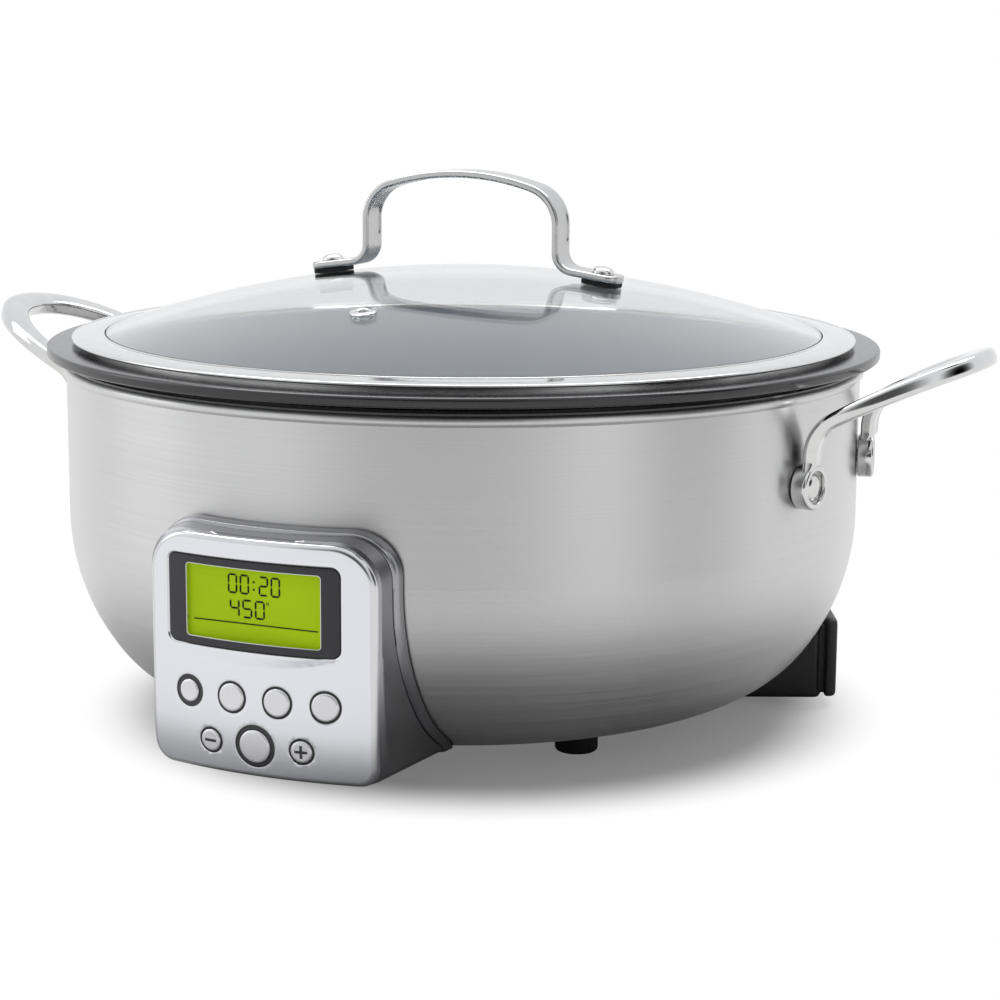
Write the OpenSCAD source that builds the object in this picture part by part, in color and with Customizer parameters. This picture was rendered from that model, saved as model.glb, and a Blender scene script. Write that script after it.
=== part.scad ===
// Electric skillet: a stainless housing with a control panel, a lift-out pan and a loose glass lid.
// Millimetres, +Z up, origin on the bowl's axis at the floor, control panel towards -Y.

/* [Housing] */
// Outer radius of the bowl housing
bowl_r = 168; // [158:1:178]
// Thickness of the housing's steel sheet
bowl_wall = 1.2; // [0.8:0.1:1.8]
// Height of the straight side, from the shoulder to the lip
side_h = 62.5; // [54:0.5:70]
// Radius of the upper arc of the bowl's curve
haunch_r = 92; // [90:1:104]
// Radius of the lower arc of the bowl's curve
heel_r = 54; // [50:1:58]
// Height between the centres of the two arcs
haunch_drop = 22.5; // [18:0.5:25]
// Radius of the rolled lip
lip_r = 1.9; // [1.5:0.1:2.4]
// How far the rolled lip stands out past the side
lip_out = 1.5; // [1:0.1:2]

/* [Base] */
// Height of the rubber feet
foot_h = 9; // [7:0.5:12]
// Diameter of a rubber foot
foot_d = 17.5; // [14:0.5:22]
// Distance of a foot's edge from the edge of the base cover
foot_inset = 1.6; // [1:0.2:8]
// Angle of the feet from the side
foot_angle = 36; // [30:1:45]
// Thickness of the plate that closes the bottom
cover_t = 2; // [1.5:0.1:3]
// Width of the seat where the cover meets the housing
cover_seat = 14; // [12:0.5:16]
// Radius of a base screw
base_screw_r = 1.5; // [1.2:0.1:2]

/* [Heater] */
// Gap between the housing and the inside of the heating well
well_gap = 9; // [7:0.5:11]
// Thickness of the well's sheet
well_wall = 0.8; // [0.6:0.1:1.2]
// Height of the electronics bay under the well
bay_h = 25.2; // [24:0.2:28]
// Height of the posts under the heating plate
standoff_h = 7; // [6.6:0.1:9]
// Radius of a post under the heating plate
standoff_r = 4; // [3:0.5:5]
// Radius of the heating plate
plate_r = 98; // [94:1:104]
// Thickness of the heating plate
plate_t = 8; // [6:0.5:10]
// Radius of the element's ring
element_ring_r = 70; // [60:1:76]
// Diameter of the element's tube
element_d = 6.2; // [5:0.1:6.4]
// Radius of the hole for the temperature sensor
sensor_hole_r = 12; // [11:0.5:14]
// Radius of the sensor's stem
sensor_stem_r = 4; // [3:0.1:4.4]
// Wire diameter of the sensor's spring
spring_wire = 1.2; // [0.8:0.1:1.4]
// Turns of the sensor's spring
spring_turns = 5; // [3:1:6]
// Rise of the sensor when the pan is lifted off
sensor_rise = 3; // [2:0.5:4]

/* [Pan] */
// Gap between the pan and the heating well
pan_gap = 3; // [2:0.5:4]
// Thickness of the pan's wall
pan_wall = 3; // [2:0.5:4]
// Thickness of the pan's floor
pan_floor_t = 3.5; // [2.5:0.5:5]
// Outer radius of the pan's bottom corner
pan_corner = 45; // [35:1:50]
// Height of the pan's flange above the housing's lip
flange_gap = 3.8; // [3:0.2:6]
// Thickness of the pan's flange
flange_t = 4.2; // [3:0.2:6]
// How far the flange reaches past the housing
flange_over = 8; // [6:0.5:12]

/* [Lid] */
// How far the lid's ring stays inside the flange's edge
rim_setback = 10.3; // [7:0.1:12]
// Height of the lid's ring above the flange
rim_lift = 1.9; // [1.4:0.1:2.4]
// Thickness of the ring at its outer edge
rim_edge = 1.2; // [0.8:0.1:1.6]
// Thickness of the glass
glass_t = 4; // [3:0.5:5]
// Rise of the dome above its edge
dome_rise = 25.6; // [20:0.2:32]
// Distance of the steam eyelet from the axis
vent_r = 95; // [80:1:110]
// Outer diameter of the steam eyelet
vent_d = 11; // [9:0.5:14]
// Half distance between the rivets of the lid's handle
rivet_x = 62.5; // [58:0.5:70]
// Half distance between the posts of the lid's handle
post_x = 44; // [40:0.5:47]
// Height of the lid's handle above the dome
strap_rise = 41.6; // [36:0.2:50]
// Width of the handle's strap
strap_w = 14; // [12:0.5:18]
// Thickness of the handle's strap
strap_t = 3; // [2.4:0.1:3.6]
// Length of the strap's foot beyond the rivet
strap_toe = 9; // [7:0.5:11]
// Radius of the bend at the strap's foot
strap_bend = 8; // [6:0.5:9]
// Radius of the strap's shoulder
strap_shoulder = 16; // [13:0.5:19]
// Radius of the arch along the strap's top
strap_arch = 110; // [90:1:140]
// Thickness of the pads under the strap
spacer_t = 2; // [1.6:0.1:3.5]

/* [Side handles] */
// Distance between the two legs of a side handle
handle_span = 82; // [76:1:88]
// Width of the handle's bar at the tip of the loop
handle_w = 12.4; // [10:0.2:14]
// Width of the handle's bar along the legs
handle_leg_w = 9.6; // [8:0.2:11]
// Thickness of the handle's bar along the legs
handle_t = 6.2; // [5:0.2:8]
// Thickness of the handle's bar at the tip of the loop
handle_tip_t = 7.6; // [6:0.2:9]
// How far the handle reaches past the housing
handle_reach = 60; // [56:1:70]
// Slope of the handle's arms where they leave the elbow
handle_slope = 29; // [25:1:33]
// Slope of the handle at its tip
handle_tip_slope = 20; // [15:1:24]
// Radius of the handle's elbow
elbow_r = 17; // [14:0.5:20]
// Gap between the handle's legs and the housing
leg_gap = 0.6; // [0.3:0.1:4]
// Drop of the handle's bosses below the housing's lip
boss_drop = 36.5; // [33:0.5:42]
// Length of the leg, from the boss to the elbow
leg_h = 12.5; // [10:0.5:16]
// Diameter of a boss
boss_d = 18; // [16:0.5:20]
// Diameter of the recess that holds the rivet's head
recess_d = 13; // [12:0.5:14]
// Depth of that recess
recess_depth = 2.4; // [1.5:0.1:3]
// Diameter of a rivet's head
rivet_head_d = 10.6; // [9:0.2:11.5]
// Radius of a rivet's shank
rivet_shank_r = 2.4; // [2:0.1:3]

/* [Control panel] */
// Distance of the panel's face from the housing
panel_depth = 17; // [15:0.5:22]
// Width of the panel's face
panel_w = 95; // [90:1:106]
// Height of the panel
panel_h = 91; // [86:1:96]
// Height of the panel's bottom above the housing's bottom
panel_lift = 2.5; // [1:0.5:5]
// Widening of each flank towards the housing
panel_flare = 6.5; // [3:0.5:9]
// Rise of the panel's top towards the middle of the housing
panel_rise = 10; // [5:1:20]
// Wall of the panel's box
panel_wall = 2.5; // [2:0.1:3]
// Radius of the panel's top corners
panel_top_r = 17; // [13:0.5:20]
// Radius of the panel's bottom corners
panel_foot_r = 8; // [5:0.5:11]
// Thickness of the gasket between panel and housing
gasket_t = 1.2; // [0.8:0.1:1.6]
// Width of the display's frame
bezel_w = 72; // [68:0.5:75]
// Height of the display's frame
bezel_h = 33.4; // [31:0.2:35]
// Height of the frame's middle above the panel's bottom
bezel_mid = 65.5; // [63:0.5:66.5]
// Distance of the display from the panel's middle, to the right
display_x = -2; // [-3:0.5:3]
// Width of the display's window
lens_w = 56; // [50:0.5:58]
// Distance of the window from its frame's middle, to the right
lens_x = 0.5; // [-1:0.5:1]
// Height of the display's window
lens_h = 27; // [24:0.5:28]
// Thickness of the window
lens_t = 1.4; // [1:0.1:2]
// Distance between neighbouring buttons
button_pitch = 19.1; // [18.5:0.1:20]
// Height of the upper button row above the panel's bottom
row_high = 30.4; // [29.5:0.1:31.5]
// Height of the lower button row above the panel's bottom
row_low = 12.6; // [12:0.1:13.5]
// Radius of the collar round a middle button
collar_r = 6; // [5.6:0.1:6.4]
// Radius of the collar round a small button
collar_small_r = 4.9; // [4.5:0.1:5.4]
// Radius of the collar round the large button
collar_large_r = 8.1; // [7.6:0.1:8.5]
// Width of a thin collar
collar_thin = 0.6; // [0.4:0.1:0.8]
// Width of a thick collar
collar_thick = 1.6; // [1.2:0.1:2]
// How far the buttons stand out of the face
button_proud = 0.6; // [0.3:0.1:1]
// Travel of a button
button_travel = 0.8; // [0.5:0.1:1]
// Thickness of a circuit board
board_t = 1.6; // [1.2:0.1:2]
// Height of a switch under a button
switch_h = 4.5; // [4:0.1:5]

/* [Cord cleats and inlet] */
// Angle of the cleats from the side, towards the rear
cleat_angle = 24; // [18:1:34]
// Width of a cleat's end plate
cleat_w = 30; // [26:1:36]
// Height of a cleat's end plate
cleat_h = 36; // [32:1:38]
// Thickness of a cleat's end plate
cleat_t = 5; // [4:0.5:7]
// How far a cleat's end plate stays inside the housing's edge
cleat_inset = 6; // [3:0.5:7]
// Height of the cleats above the floor
cleat_lift = 3; // [2:0.5:5]
// How far the mains inlet stands out past the housing
inlet_reach = 17.6; // [16:0.2:24]
// Width of the housing round the mains inlet
inlet_w = 46; // [42:1:54]
// Height of the housing round the mains inlet
inlet_h = 34; // [31:0.5:38]
// Width of the inlet's opening
socket_w = 24.4; // [23.8:0.1:25]
// Height of the inlet's opening
socket_h = 16.4; // [15.8:0.1:17]
// Depth of the inlet's opening
socket_depth = 20; // [19:0.5:22]
// Length of the inlet's pins
pin_l = 14; // [12:0.5:14.5]

/* [Fits] */
// Gap between fixed pieces that sit against each other
seat_gap = 0.1; // [0.05:0.05:0.3]
// Radial clearance of a piece that slides in a hole
slide_fit = 0.08; // [0.05:0.01:0.1]
// Radial clearance of a screw or rivet in its hole
screw_fit = 0.1; // [0.05:0.05:0.2]

/* [Hidden] */
$fn = 96;
face_fn = 720;
bowl_bottom = foot_h + cover_t;
heel_z = bowl_bottom + heel_r;
shoulder_z = heel_z + haunch_drop;
bowl_top = shoulder_z + side_h;
haunch_x = bowl_r - haunch_r;
heel_x = haunch_x + sqrt(pow(haunch_r - heel_r, 2) - pow(haunch_drop, 2));
arc_split = asin(haunch_drop / (haunch_r - heel_r));
base_open_r = heel_x - cover_seat;
cover_edge = 2;
cover_r = heel_x - cover_edge;
foot_pcr = cover_r - foot_inset - foot_d / 2;
base_screw_pcr = (base_open_r + cover_r) / 2;
base_screw_count = 6;
screw_head_h = 1.6;
screw_head_r = 2 * base_screw_r;

well_r = bowl_r - well_gap;
well_floor_z = bowl_bottom + bay_h + well_wall;
well_corner = pan_corner + pan_gap;
well_flange_r = bowl_r + lip_out - lip_r;
plate_z = well_floor_z + standoff_h;
pan_z = plate_z + plate_t;
standoff_pcr = (element_ring_r + element_d / 2 + plate_r) / 2;
element_gap = 30;
element_z = plate_z - element_d / 2 - 2 * seat_gap;
terminal_r = 2.4;
terminal_drop = 7;
guide_r = 9;
guide_bore_r = 7.6;
guide_h = 9;
guide_floor = 2;
sensor_cap_t = 2.5;
sensor_cap_r = sensor_hole_r - 0.6;
clip_r = 6;
clip_t = 1;
clip_top = well_floor_z - sensor_rise - 2 * seat_gap;
spring_r = (sensor_stem_r + guide_bore_r) / 2;

pan_r = well_r - pan_gap;
pan_in_r = pan_r - pan_wall;
flange_z = bowl_top + flange_gap;
pan_top = flange_z + flange_t;
flange_r = bowl_r + flange_over;

glass_r = pan_in_r - 1.5;
rim_in_r = glass_r + 0.3;
rim_skirt = 0.8;
rim_r = flange_r - rim_setback;
rim_foot = 3;
rim_foot_in = pan_in_r + 1.2;
ledge_w = 3;
ledge_t = 1;
ledge_drop = 1.4;
dome_edge_z = pan_top + rim_lift + rim_edge + 1.2;
dome_r = (pow(glass_r, 2) + pow(dome_rise, 2)) / (2 * dome_rise);
dome_cz = dome_edge_z + dome_rise - dome_r;
rivet_tilt = asin(rivet_x / dome_r);
vent_tilt = asin(vent_r / dome_r);
vent_hole_r = 3;
eyelet_bore_r = 2;
eyelet_lip = 0.9;
strap_foot_r = dome_r + seat_gap + spacer_t + seat_gap + strap_t / 2;
strap_top_z = dome_cz + dome_r + strap_rise;
lid_rivet_head_d = 9.5;
lid_rivet_head_h = 2.6;
lid_rivet_shank_r = 2;
spacer_l = 17;
lid_nut_d = 15;
lid_nut_h = 5;

leg_x = sqrt(pow(bowl_r, 2) - pow((handle_span - handle_leg_w) / 2, 2)) + leg_gap + handle_t / 2;
boss_z = bowl_top - boss_drop;
boss_angle = atan2(handle_span / 2, leg_x);
boss_t = norm([leg_x + handle_t / 2, handle_span / 2]) - bowl_r - handle_t * 0.1;
elbow_z = boss_z + leg_h;
elbow_turn = 90 - handle_slope;
elbow_end_x = leg_x + elbow_r * (1 - cos(elbow_turn));
elbow_end_z = elbow_z + elbow_r * sin(elbow_turn);
elbow_steps = 6;
loop_steps = 20;
bar_sides = 12;
arm_x = bowl_r + handle_reach - handle_w / 2 * cos(handle_tip_slope) - elbow_end_x;
arm_bend_r = arm_x / (sin(handle_slope) - sin(handle_tip_slope));
rivet_head_h = 2;
rivet_tail_r = 5;
rivet_tail_t = 1.2;

panel_r = bowl_r + panel_depth;
panel_z = bowl_bottom + panel_lift;
panel_top = panel_z + panel_h;
panel_back = heel_x;
panel_inner_r = panel_r - panel_wall;
bezel_z = panel_z + bezel_mid;
lens_r = panel_r - 0.8;
board_y = bowl_r + gasket_t + 1.8;
board_front = board_y + board_t;
board_half_w = 36;
board_low = panel_z + 4.5;
board_high = panel_top - 6.5;
switch_top = board_front + switch_h;
switch_side = 6;
button_back = switch_top + button_travel + seat_gap;
button_flange_t = 0.9;
button_flange = 1.2;
lcd_margin = 2;
lens_mid = display_x + lens_x;
lcd_front = sqrt(pow(panel_inner_r, 2) - pow(lens_w / 2 + lcd_margin + abs(lens_mid), 2)) - seat_gap;
post_r = 2.5;
board_screw_r = 1.2;
board_post_x = board_half_w - post_r - 0.4;
board_post_rows = [row_low - 4.5, row_high + 12];
harness_r = 8;

cleat_post_w = cleat_w - 6;
cleat_post_h = cleat_h - 3;
cleat_neck = 1;
cleat_out = bowl_r - cleat_inset;
cleat_round = 5;
inlet_z = bowl_bottom + 3;
inlet_back = bowl_r + inlet_reach;
inlet_deep = inlet_back - heel_x;
socket_wall = 1.8;
pin_w = 4;
pin_thick = 2;
pin_pitch = 7;
pin_root = 3;

bay_board = [110, 70];
bay_post_h = 7;
bay_post_inset = 5;
relay = [26, 24, 10];
line_filter = [20, 16, 10];
supply = [14, 10, 7];
capacitor_r = 5;
capacitor_h = 9;
bay_board_z = bowl_bottom + bay_post_h;

// Name, place across the panel, height, collar radius and collar width of each button
BUTTONS = [
    ["button_sear", -1.5 * button_pitch, row_high, collar_r, collar_thick],
    ["button_menu", -0.5 * button_pitch, row_high, collar_r, collar_thin],
    ["button_time", 0.5 * button_pitch, row_high, collar_r, collar_thin],
    ["button_temp", 1.5 * button_pitch, row_high, collar_r, collar_thin],
    ["button_minus", -button_pitch, row_low, collar_small_r, collar_thin],
    ["button_start", 0, row_low, collar_large_r, collar_thick],
    ["button_plus", button_pitch, row_low, collar_small_r, collar_thin],
];

// Points along an arc about (x, z), from one angle to another
function arc(x, z, r, from, to, steps, first = 0) =
    [for (i = [first:steps]) let (a = from + (to - from) * i / steps) [x + r * cos(a), z + r * sin(a)]];

function backwards(points) = [for (i = [len(points) - 1:-1:0]) points[i]];

// The bowl's profile from its flat bottom up to a height, moved inwards by inset
function bowl_curve(inset, top) = concat(
    arc(heel_x, heel_z, heel_r - inset, -90, -arc_split, 12),
    arc(haunch_x, shoulder_z, haunch_r - inset, -arc_split, 0, 10, 1),
    [[bowl_r - inset, top]]);

// A cup's profile: a flat floor, a round corner and a straight side up to a height
function cup_curve(r, corner, floor_z, top) = concat(
    arc(r - corner, floor_z + corner, corner, -90, 0, 14),
    [[r, top]]);

// Everything inside the bowl's skin, moved inwards by inset
module bowl_solid(inset, top) {
    rotate_extrude()
        polygon(concat([[0, bowl_bottom + inset]], bowl_curve(inset, top), [[0, top]]));
}

// A tube along Z, from low to high
module tube(outer, inner, low, high) {
    translate([0, 0, low]) difference() {
        cylinder(r = outer, h = high - low);
        translate([0, 0, -1]) cylinder(r = inner, h = high - low + 2);
    }
}

// A block with its four upright edges rounded
module round_block(size, r) {
    linear_extrude(size[2]) {
        square([size[0] - 2 * r, size[1]], center = true);
        square([size[0], size[1] - 2 * r], center = true);
        for (x = [-1, 1], y = [-1, 1])
            translate([x * (size[0] / 2 - r), y * (size[1] / 2 - r)]) circle(r);
    }
}

// A rivet along Z, with a domed head above z = 0 and a shank below it
module rivet(head_d, head_h, shank_r, shank_l) {
    dome = (pow(head_d / 2, 2) + pow(head_h, 2)) / (2 * head_h);
    half = asin(head_d / 2 / dome);
    rotate_extrude()
        polygon(concat(
            [[0, -shank_l], [shank_r, -shank_l], [shank_r, 0]],
            arc(0, head_h - dome, dome, 90 - half, 90, 8)));
}

// Puts a piece on the housing at a boss of the side handles, with Z pointing outwards
module at_boss(side, end) {
    mirror([side < 0 ? 1 : 0, 0, 0])
        rotate([0, 0, end * boss_angle])
            translate([bowl_r, 0, boss_z])
                rotate([0, 90, 0]) children();
}

// Puts a piece on the panel's face, with Z pointing out of the panel
module at_panel(x, height) {
    translate([x, 0, panel_z + height]) rotate([90, 0, 0]) children();
}

// Puts a piece on the dome, with Z along the glass's normal
module at_dome(tilt_x, tilt_y) {
    translate([0, 0, dome_cz]) rotate([tilt_y, tilt_x, 0]) translate([0, 0, dome_r]) children();
}

module housing_shell() {
    color("silver") difference() {
        rotate_extrude() {
            polygon(concat(
                [[base_open_r, bowl_bottom]],
                bowl_curve(0, bowl_top - lip_r),
                backwards(bowl_curve(bowl_wall, bowl_top - lip_r)),
                [[base_open_r, bowl_bottom + bowl_wall]]));
            translate([bowl_r + lip_out - lip_r, bowl_top - lip_r]) circle(lip_r);
        }
        for (side = [-1, 1], end = [-1, 1])
            at_boss(side, end) translate([0, 0, -boss_d])
                cylinder(r = rivet_shank_r + screw_fit, h = boss_d * 2);
        for (i = [1:base_screw_count])
            rotate([0, 0, 360 / base_screw_count * i])
                translate([base_screw_pcr, 0, bowl_bottom - 1])
                    cylinder(r = base_screw_r + screw_fit, h = bowl_wall + 2);
        at_panel(0, panel_h / 2) translate([0, 0, heel_x]) cylinder(r = harness_r, h = bowl_r);
        translate([0, heel_x, inlet_z + inlet_h / 2]) rotate([-90, 0, 0]) cylinder(r = harness_r, h = bowl_r);
    }
}

module heating_well() {
    inside = cup_curve(well_r, well_corner, well_floor_z, bowl_top + seat_gap + well_wall);
    outside = cup_curve(
        well_r + well_wall, well_corner + well_wall, well_floor_z - well_wall, bowl_top + seat_gap);
    color("dimgray") difference() {
        rotate_extrude()
            polygon(concat(
                [[clip_r + 1, well_floor_z - well_wall]],
                outside,
                [[well_flange_r, bowl_top + seat_gap], [well_flange_r, bowl_top + seat_gap + well_wall]],
                backwards(inside),
                [[clip_r + 1, well_floor_z]]));
        for (end = [-1, 1])
            rotate([0, 0, end * element_gap / 2])
                translate([element_ring_r, 0, 0]) cylinder(r = terminal_r + 1, h = plate_z);
    }
}

module heating_plate() {
    color("lightgray") tube(plate_r, sensor_hole_r, plate_z, pan_z);
}

module heating_element() {
    color("slategray") {
        rotate([0, 0, element_gap / 2]) translate([0, 0, element_z])
            rotate_extrude(angle = 360 - element_gap) translate([element_ring_r, 0]) circle(d = element_d);
        for (end = [-1, 1])
            rotate([0, 0, end * element_gap / 2])
                translate([element_ring_r, 0, well_floor_z - terminal_drop])
                    cylinder(r = terminal_r, h = element_z - well_floor_z + terminal_drop);
    }
}

module plate_standoffs() {
    color("gray") for (i = [0:2])
        rotate([0, 0, 60 + 120 * i]) translate([standoff_pcr, 0, well_floor_z])
            cylinder(r = standoff_r, h = standoff_h);
}

module sensor_guide() {
    color("gainsboro") {
        tube(guide_r, guide_bore_r, well_floor_z, well_floor_z + guide_h);
        tube(guide_r, sensor_stem_r + slide_fit, well_floor_z, well_floor_z + guide_floor);
    }
}

// One unbroken helical wire between the guide's floor and the sensor's cap
module sensor_spring() {
    sides = 6;
    rings = spring_turns * 12;
    low = well_floor_z + guide_floor + spring_wire / 2 + seat_gap;
    high = pan_z - sensor_cap_t - spring_wire / 2 - seat_gap;
    function ring_point(i, j) = let (
        turn = 360 * spring_turns * i / rings,
        a = 360 * j / sides,
        r = spring_r + spring_wire / 2 * cos(a))
        [r * cos(turn), r * sin(turn), low + (high - low) * i / rings + spring_wire / 2 * sin(a)];
    points = [for (i = [0:rings], j = [0:sides - 1]) ring_point(i, j)];
    walls = [for (i = [0:rings - 1], j = [0:sides - 1]) let (
        a = i * sides + j,
        b = i * sides + (j + 1) % sides)
        each [[a, a + sides, b], [b, a + sides, b + sides]]];
    ends = [
        for (j = [1:sides - 2]) each [
            [0, j, j + 1],
            [rings * sides, rings * sides + j + 1, rings * sides + j]]];
    color("lightsteelblue") polyhedron(points, concat(walls, ends));
}

module sensor_cap() {
    color("silver") {
        translate([0, 0, pan_z - sensor_cap_t]) cylinder(r = sensor_cap_r, h = sensor_cap_t);
        translate([0, 0, clip_top - 2 * clip_t])
            cylinder(r = sensor_stem_r, h = pan_z - sensor_cap_t - clip_top + 2 * clip_t);
        translate([0, 0, clip_top - clip_t]) cylinder(r = clip_r, h = clip_t);
    }
}

module thermal_cutout() {
    color("tan") rotate([0, 0, 150])
        translate([(guide_r + element_ring_r) / 2, 0, well_floor_z + seat_gap])
            cylinder(r = 6, h = standoff_h - seat_gap);
}

module board_posts() {
    at = bay_board / 2 - [bay_post_inset, bay_post_inset];
    color("whitesmoke") for (x = [-1, 1], y = [-1, 1])
        translate([x * at[0], y * at[1], bowl_bottom]) cylinder(r = 3, h = bay_post_h);
}

module power_board() {
    color("darkgreen") translate([0, 0, bay_board_z])
        round_block([bay_board[0], bay_board[1], board_t], 3);
}

module power_components() {
    top = bay_board_z + board_t;
    edge_x = bay_board[0] / 2;
    edge_y = bay_board[1] / 2;
    color("black") {
        translate([relay[0] / 2 + bay_post_inset - edge_x, 0, top]) round_block(relay, 1);
        translate([edge_x - line_filter[0], edge_y - line_filter[1], top]) round_block(line_filter, 1);
        translate([supply[0] / 2, edge_y - supply[1], top]) round_block(supply, 1);
        for (i = [1:4])
            translate([edge_x - 2.5 * capacitor_r * i, 3 * capacitor_r - edge_y, top])
                cylinder(r = capacitor_r, h = capacitor_h);
    }
}

module base_cover() {
    color("dimgray") difference() {
        translate([0, 0, foot_h]) cylinder(r = cover_r, h = cover_t);
        for (i = [1:base_screw_count])
            rotate([0, 0, 360 / base_screw_count * i])
                translate([base_screw_pcr, 0, foot_h - 1])
                    cylinder(r = base_screw_r + screw_fit, h = cover_t + 2);
    }
}

module base_screws() {
    color("silver") for (i = [1:base_screw_count])
        rotate([0, 0, 360 / base_screw_count * i])
            translate([base_screw_pcr, 0, foot_h])
                mirror([0, 0, 1]) rivet(2 * screw_head_r, screw_head_h, base_screw_r, cover_t + 5);
}

module rubber_feet() {
    edge = 1.2;
    color("black") for (x = [-1, 1], y = [-1, 1])
        translate([x * foot_pcr * cos(foot_angle), y * foot_pcr * sin(foot_angle), 0])
            rotate_extrude()
                polygon([
                    [0, 0], [foot_d / 2 - edge, 0], [foot_d / 2, edge], [foot_d / 2, foot_h], [0, foot_h]]);
}

// The panel's outer form, moved inwards by inset, from its curved face back into the bowl
module panel_block(inset) {
    intersection() {
        hull() for (side = [-1, 1], back = [0, 1]) {
            half = panel_w / 2 + back * panel_flare;
            y = back ? -panel_back : -panel_r - 1;
            translate([side * (half - panel_top_r), y, panel_top + back * panel_rise - panel_top_r])
                rotate([90, 0, 0]) cylinder(r = panel_top_r - inset, h = 0.1, $fn = 32);
            translate([side * (half - panel_foot_r), y, panel_z + panel_foot_r])
                rotate([90, 0, 0]) cylinder(r = panel_foot_r - inset, h = 0.1, $fn = 32);
        }
        cylinder(r = panel_r - inset, h = panel_top + panel_rise + 1, $fn = face_fn);
    }
}

module control_housing() {
    post_front = panel_inner_r * cos(asin(board_post_x / panel_inner_r)) + 0.5;
    color("gainsboro") {
        difference() {
            panel_block(0);
            panel_block(panel_wall);
            bowl_solid(-gasket_t - 2 * seat_gap, bowl_top);
            translate([display_x - bezel_w / 2 - seat_gap, -panel_r - 1, bezel_z - bezel_h / 2 - seat_gap])
                cube([bezel_w + 2 * seat_gap, panel_depth - 3, bezel_h + 2 * seat_gap]);
            for (b = BUTTONS)
                at_panel(b[1], b[2]) translate([0, 0, button_back])
                    cylinder(r = b[3] + seat_gap, h = panel_depth);
        }
        for (x = [-1, 1], height = board_post_rows)
            at_panel(x * board_post_x, height) difference() {
                translate([0, 0, board_front]) cylinder(r = post_r, h = post_front - board_front);
                translate([0, 0, board_front - 1]) cylinder(r = board_screw_r + screw_fit, h = 6);
            }
    }
}

// A band that follows the bowl's skin round the mouth of the panel's box
module control_gasket() {
    gasket_edge = 0.8;
    color("black") difference() {
        intersection() {
            panel_block(-gasket_edge);
            bowl_solid(-gasket_t - seat_gap, bowl_top);
        }
        bowl_solid(-seat_gap, bowl_top + 1);
        panel_block(panel_wall);
    }
}

module display_bezel() {
    color("dimgray") intersection() {
        tube(panel_r + 0.3, panel_inner_r, panel_z, panel_top);
        difference() {
            translate([display_x - bezel_w / 2, -panel_r - 1, bezel_z - bezel_h / 2])
                cube([bezel_w, panel_depth, bezel_h]);
            translate([lens_mid - lens_w / 2 - seat_gap, -panel_r - 2, bezel_z - lens_h / 2 - seat_gap])
                cube([lens_w + 2 * seat_gap, panel_depth, lens_h + 2 * seat_gap]);
        }
    }
}

module display_lens() {
    color("honeydew") intersection() {
        tube(lens_r, lens_r - lens_t, panel_z, panel_top);
        translate([lens_mid - lens_w / 2, -panel_r, bezel_z - lens_h / 2])
            cube([lens_w, panel_depth, lens_h]);
    }
}

module lcd_module() {
    w = lens_w + 2 * lcd_margin;
    h = lens_h + 2 * lcd_margin;
    color("yellowgreen") translate([lens_mid - w / 2, -lcd_front, bezel_z - h / 2])
        cube([w, lcd_front - board_front, h]);
}

module control_board() {
    color("darkgreen") difference() {
        translate([-board_half_w, -board_front, board_low])
            cube([2 * board_half_w, board_t, board_high - board_low]);
        for (x = [-1, 1], height = board_post_rows)
            at_panel(x * board_post_x, height) translate([0, 0, board_y - 1])
                cylinder(r = board_screw_r + screw_fit, h = board_t + 2);
    }
}

module tact_switches() {
    body_h = switch_h - 1;
    color("black") for (b = BUTTONS)
        at_panel(b[1], b[2]) translate([0, 0, board_front]) {
            translate([-switch_side / 2, -switch_side / 2, 0]) cube([switch_side, switch_side, body_h]);
            cylinder(r = 1.7, h = switch_h);
        }
}

module board_screws() {
    color("silver") for (x = [-1, 1], height = board_post_rows)
        at_panel(x * board_post_x, height) translate([0, 0, board_y])
            mirror([0, 0, 1]) rivet(2 * post_r, 1.4, board_screw_r, board_t + 4);
}

module button_rings() {
    color("black") intersection() {
        for (b = BUTTONS)
            at_panel(b[1], b[2])
                tube(b[3], b[3] - b[4] + slide_fit, button_back, panel_r + 1);
        tube(panel_r - 0.2, panel_inner_r, panel_z, panel_top, $fn = face_fn);
    }
}

// A button's cap, cut to follow the panel's curved face, with a flange behind the face
module panel_button(b) {
    cap_r = b[3] - b[4];
    color("white") {
        intersection() {
            at_panel(b[1], b[2]) translate([0, 0, button_back]) cylinder(r = cap_r, h = panel_depth);
            cylinder(r = panel_r + button_proud, h = panel_top, $fn = face_fn);
        }
        at_panel(b[1], b[2]) translate([0, 0, button_back])
            cylinder(r = cap_r + button_flange, h = button_flange_t);
    }
}

// Rings along half of a side handle's bar: each has its middle, direction, upper normal and growth
function handle_half(end) = let (heading = function (a) -end * [cos(a), 0, sin(a)])
    concat(
        [for (z = [boss_z, elbow_z]) [[leg_x, end * handle_span / 2, z], heading(90), [-1, 0, 0], 0]],
        [for (i = [1:elbow_steps]) let (a = 90 - elbow_turn * i / elbow_steps)
            [[leg_x + elbow_r * (1 - sin(a)), end * handle_span / 2, elbow_z + elbow_r * cos(a)],
             heading(a), [-sin(a), 0, cos(a)], 0]]);

// Rings round the loop, half an oval in plan on arms that flatten towards the tip
function handle_loop() = let (arm_l = arm_bend_r * (handle_slope - handle_tip_slope) * PI / 180)
    [for (i = [1:loop_steps - 1]) let (
        a = -90 + 180 * i / loop_steps,
        slope = handle_slope + (handle_tip_slope - handle_slope) * cos(a),
        along = -arm_l * sin(a) * [cos(slope), 0, sin(slope)] + [0, handle_span / 2 * cos(a), 0])
        [[elbow_end_x + arm_bend_r * (sin(handle_slope) - sin(slope)),
          handle_span / 2 * sin(a),
          elbow_end_z + arm_bend_r * (cos(slope) - cos(handle_slope))],
         along / norm(along), [-sin(slope), 0, cos(slope)], cos(a)]];

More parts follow.
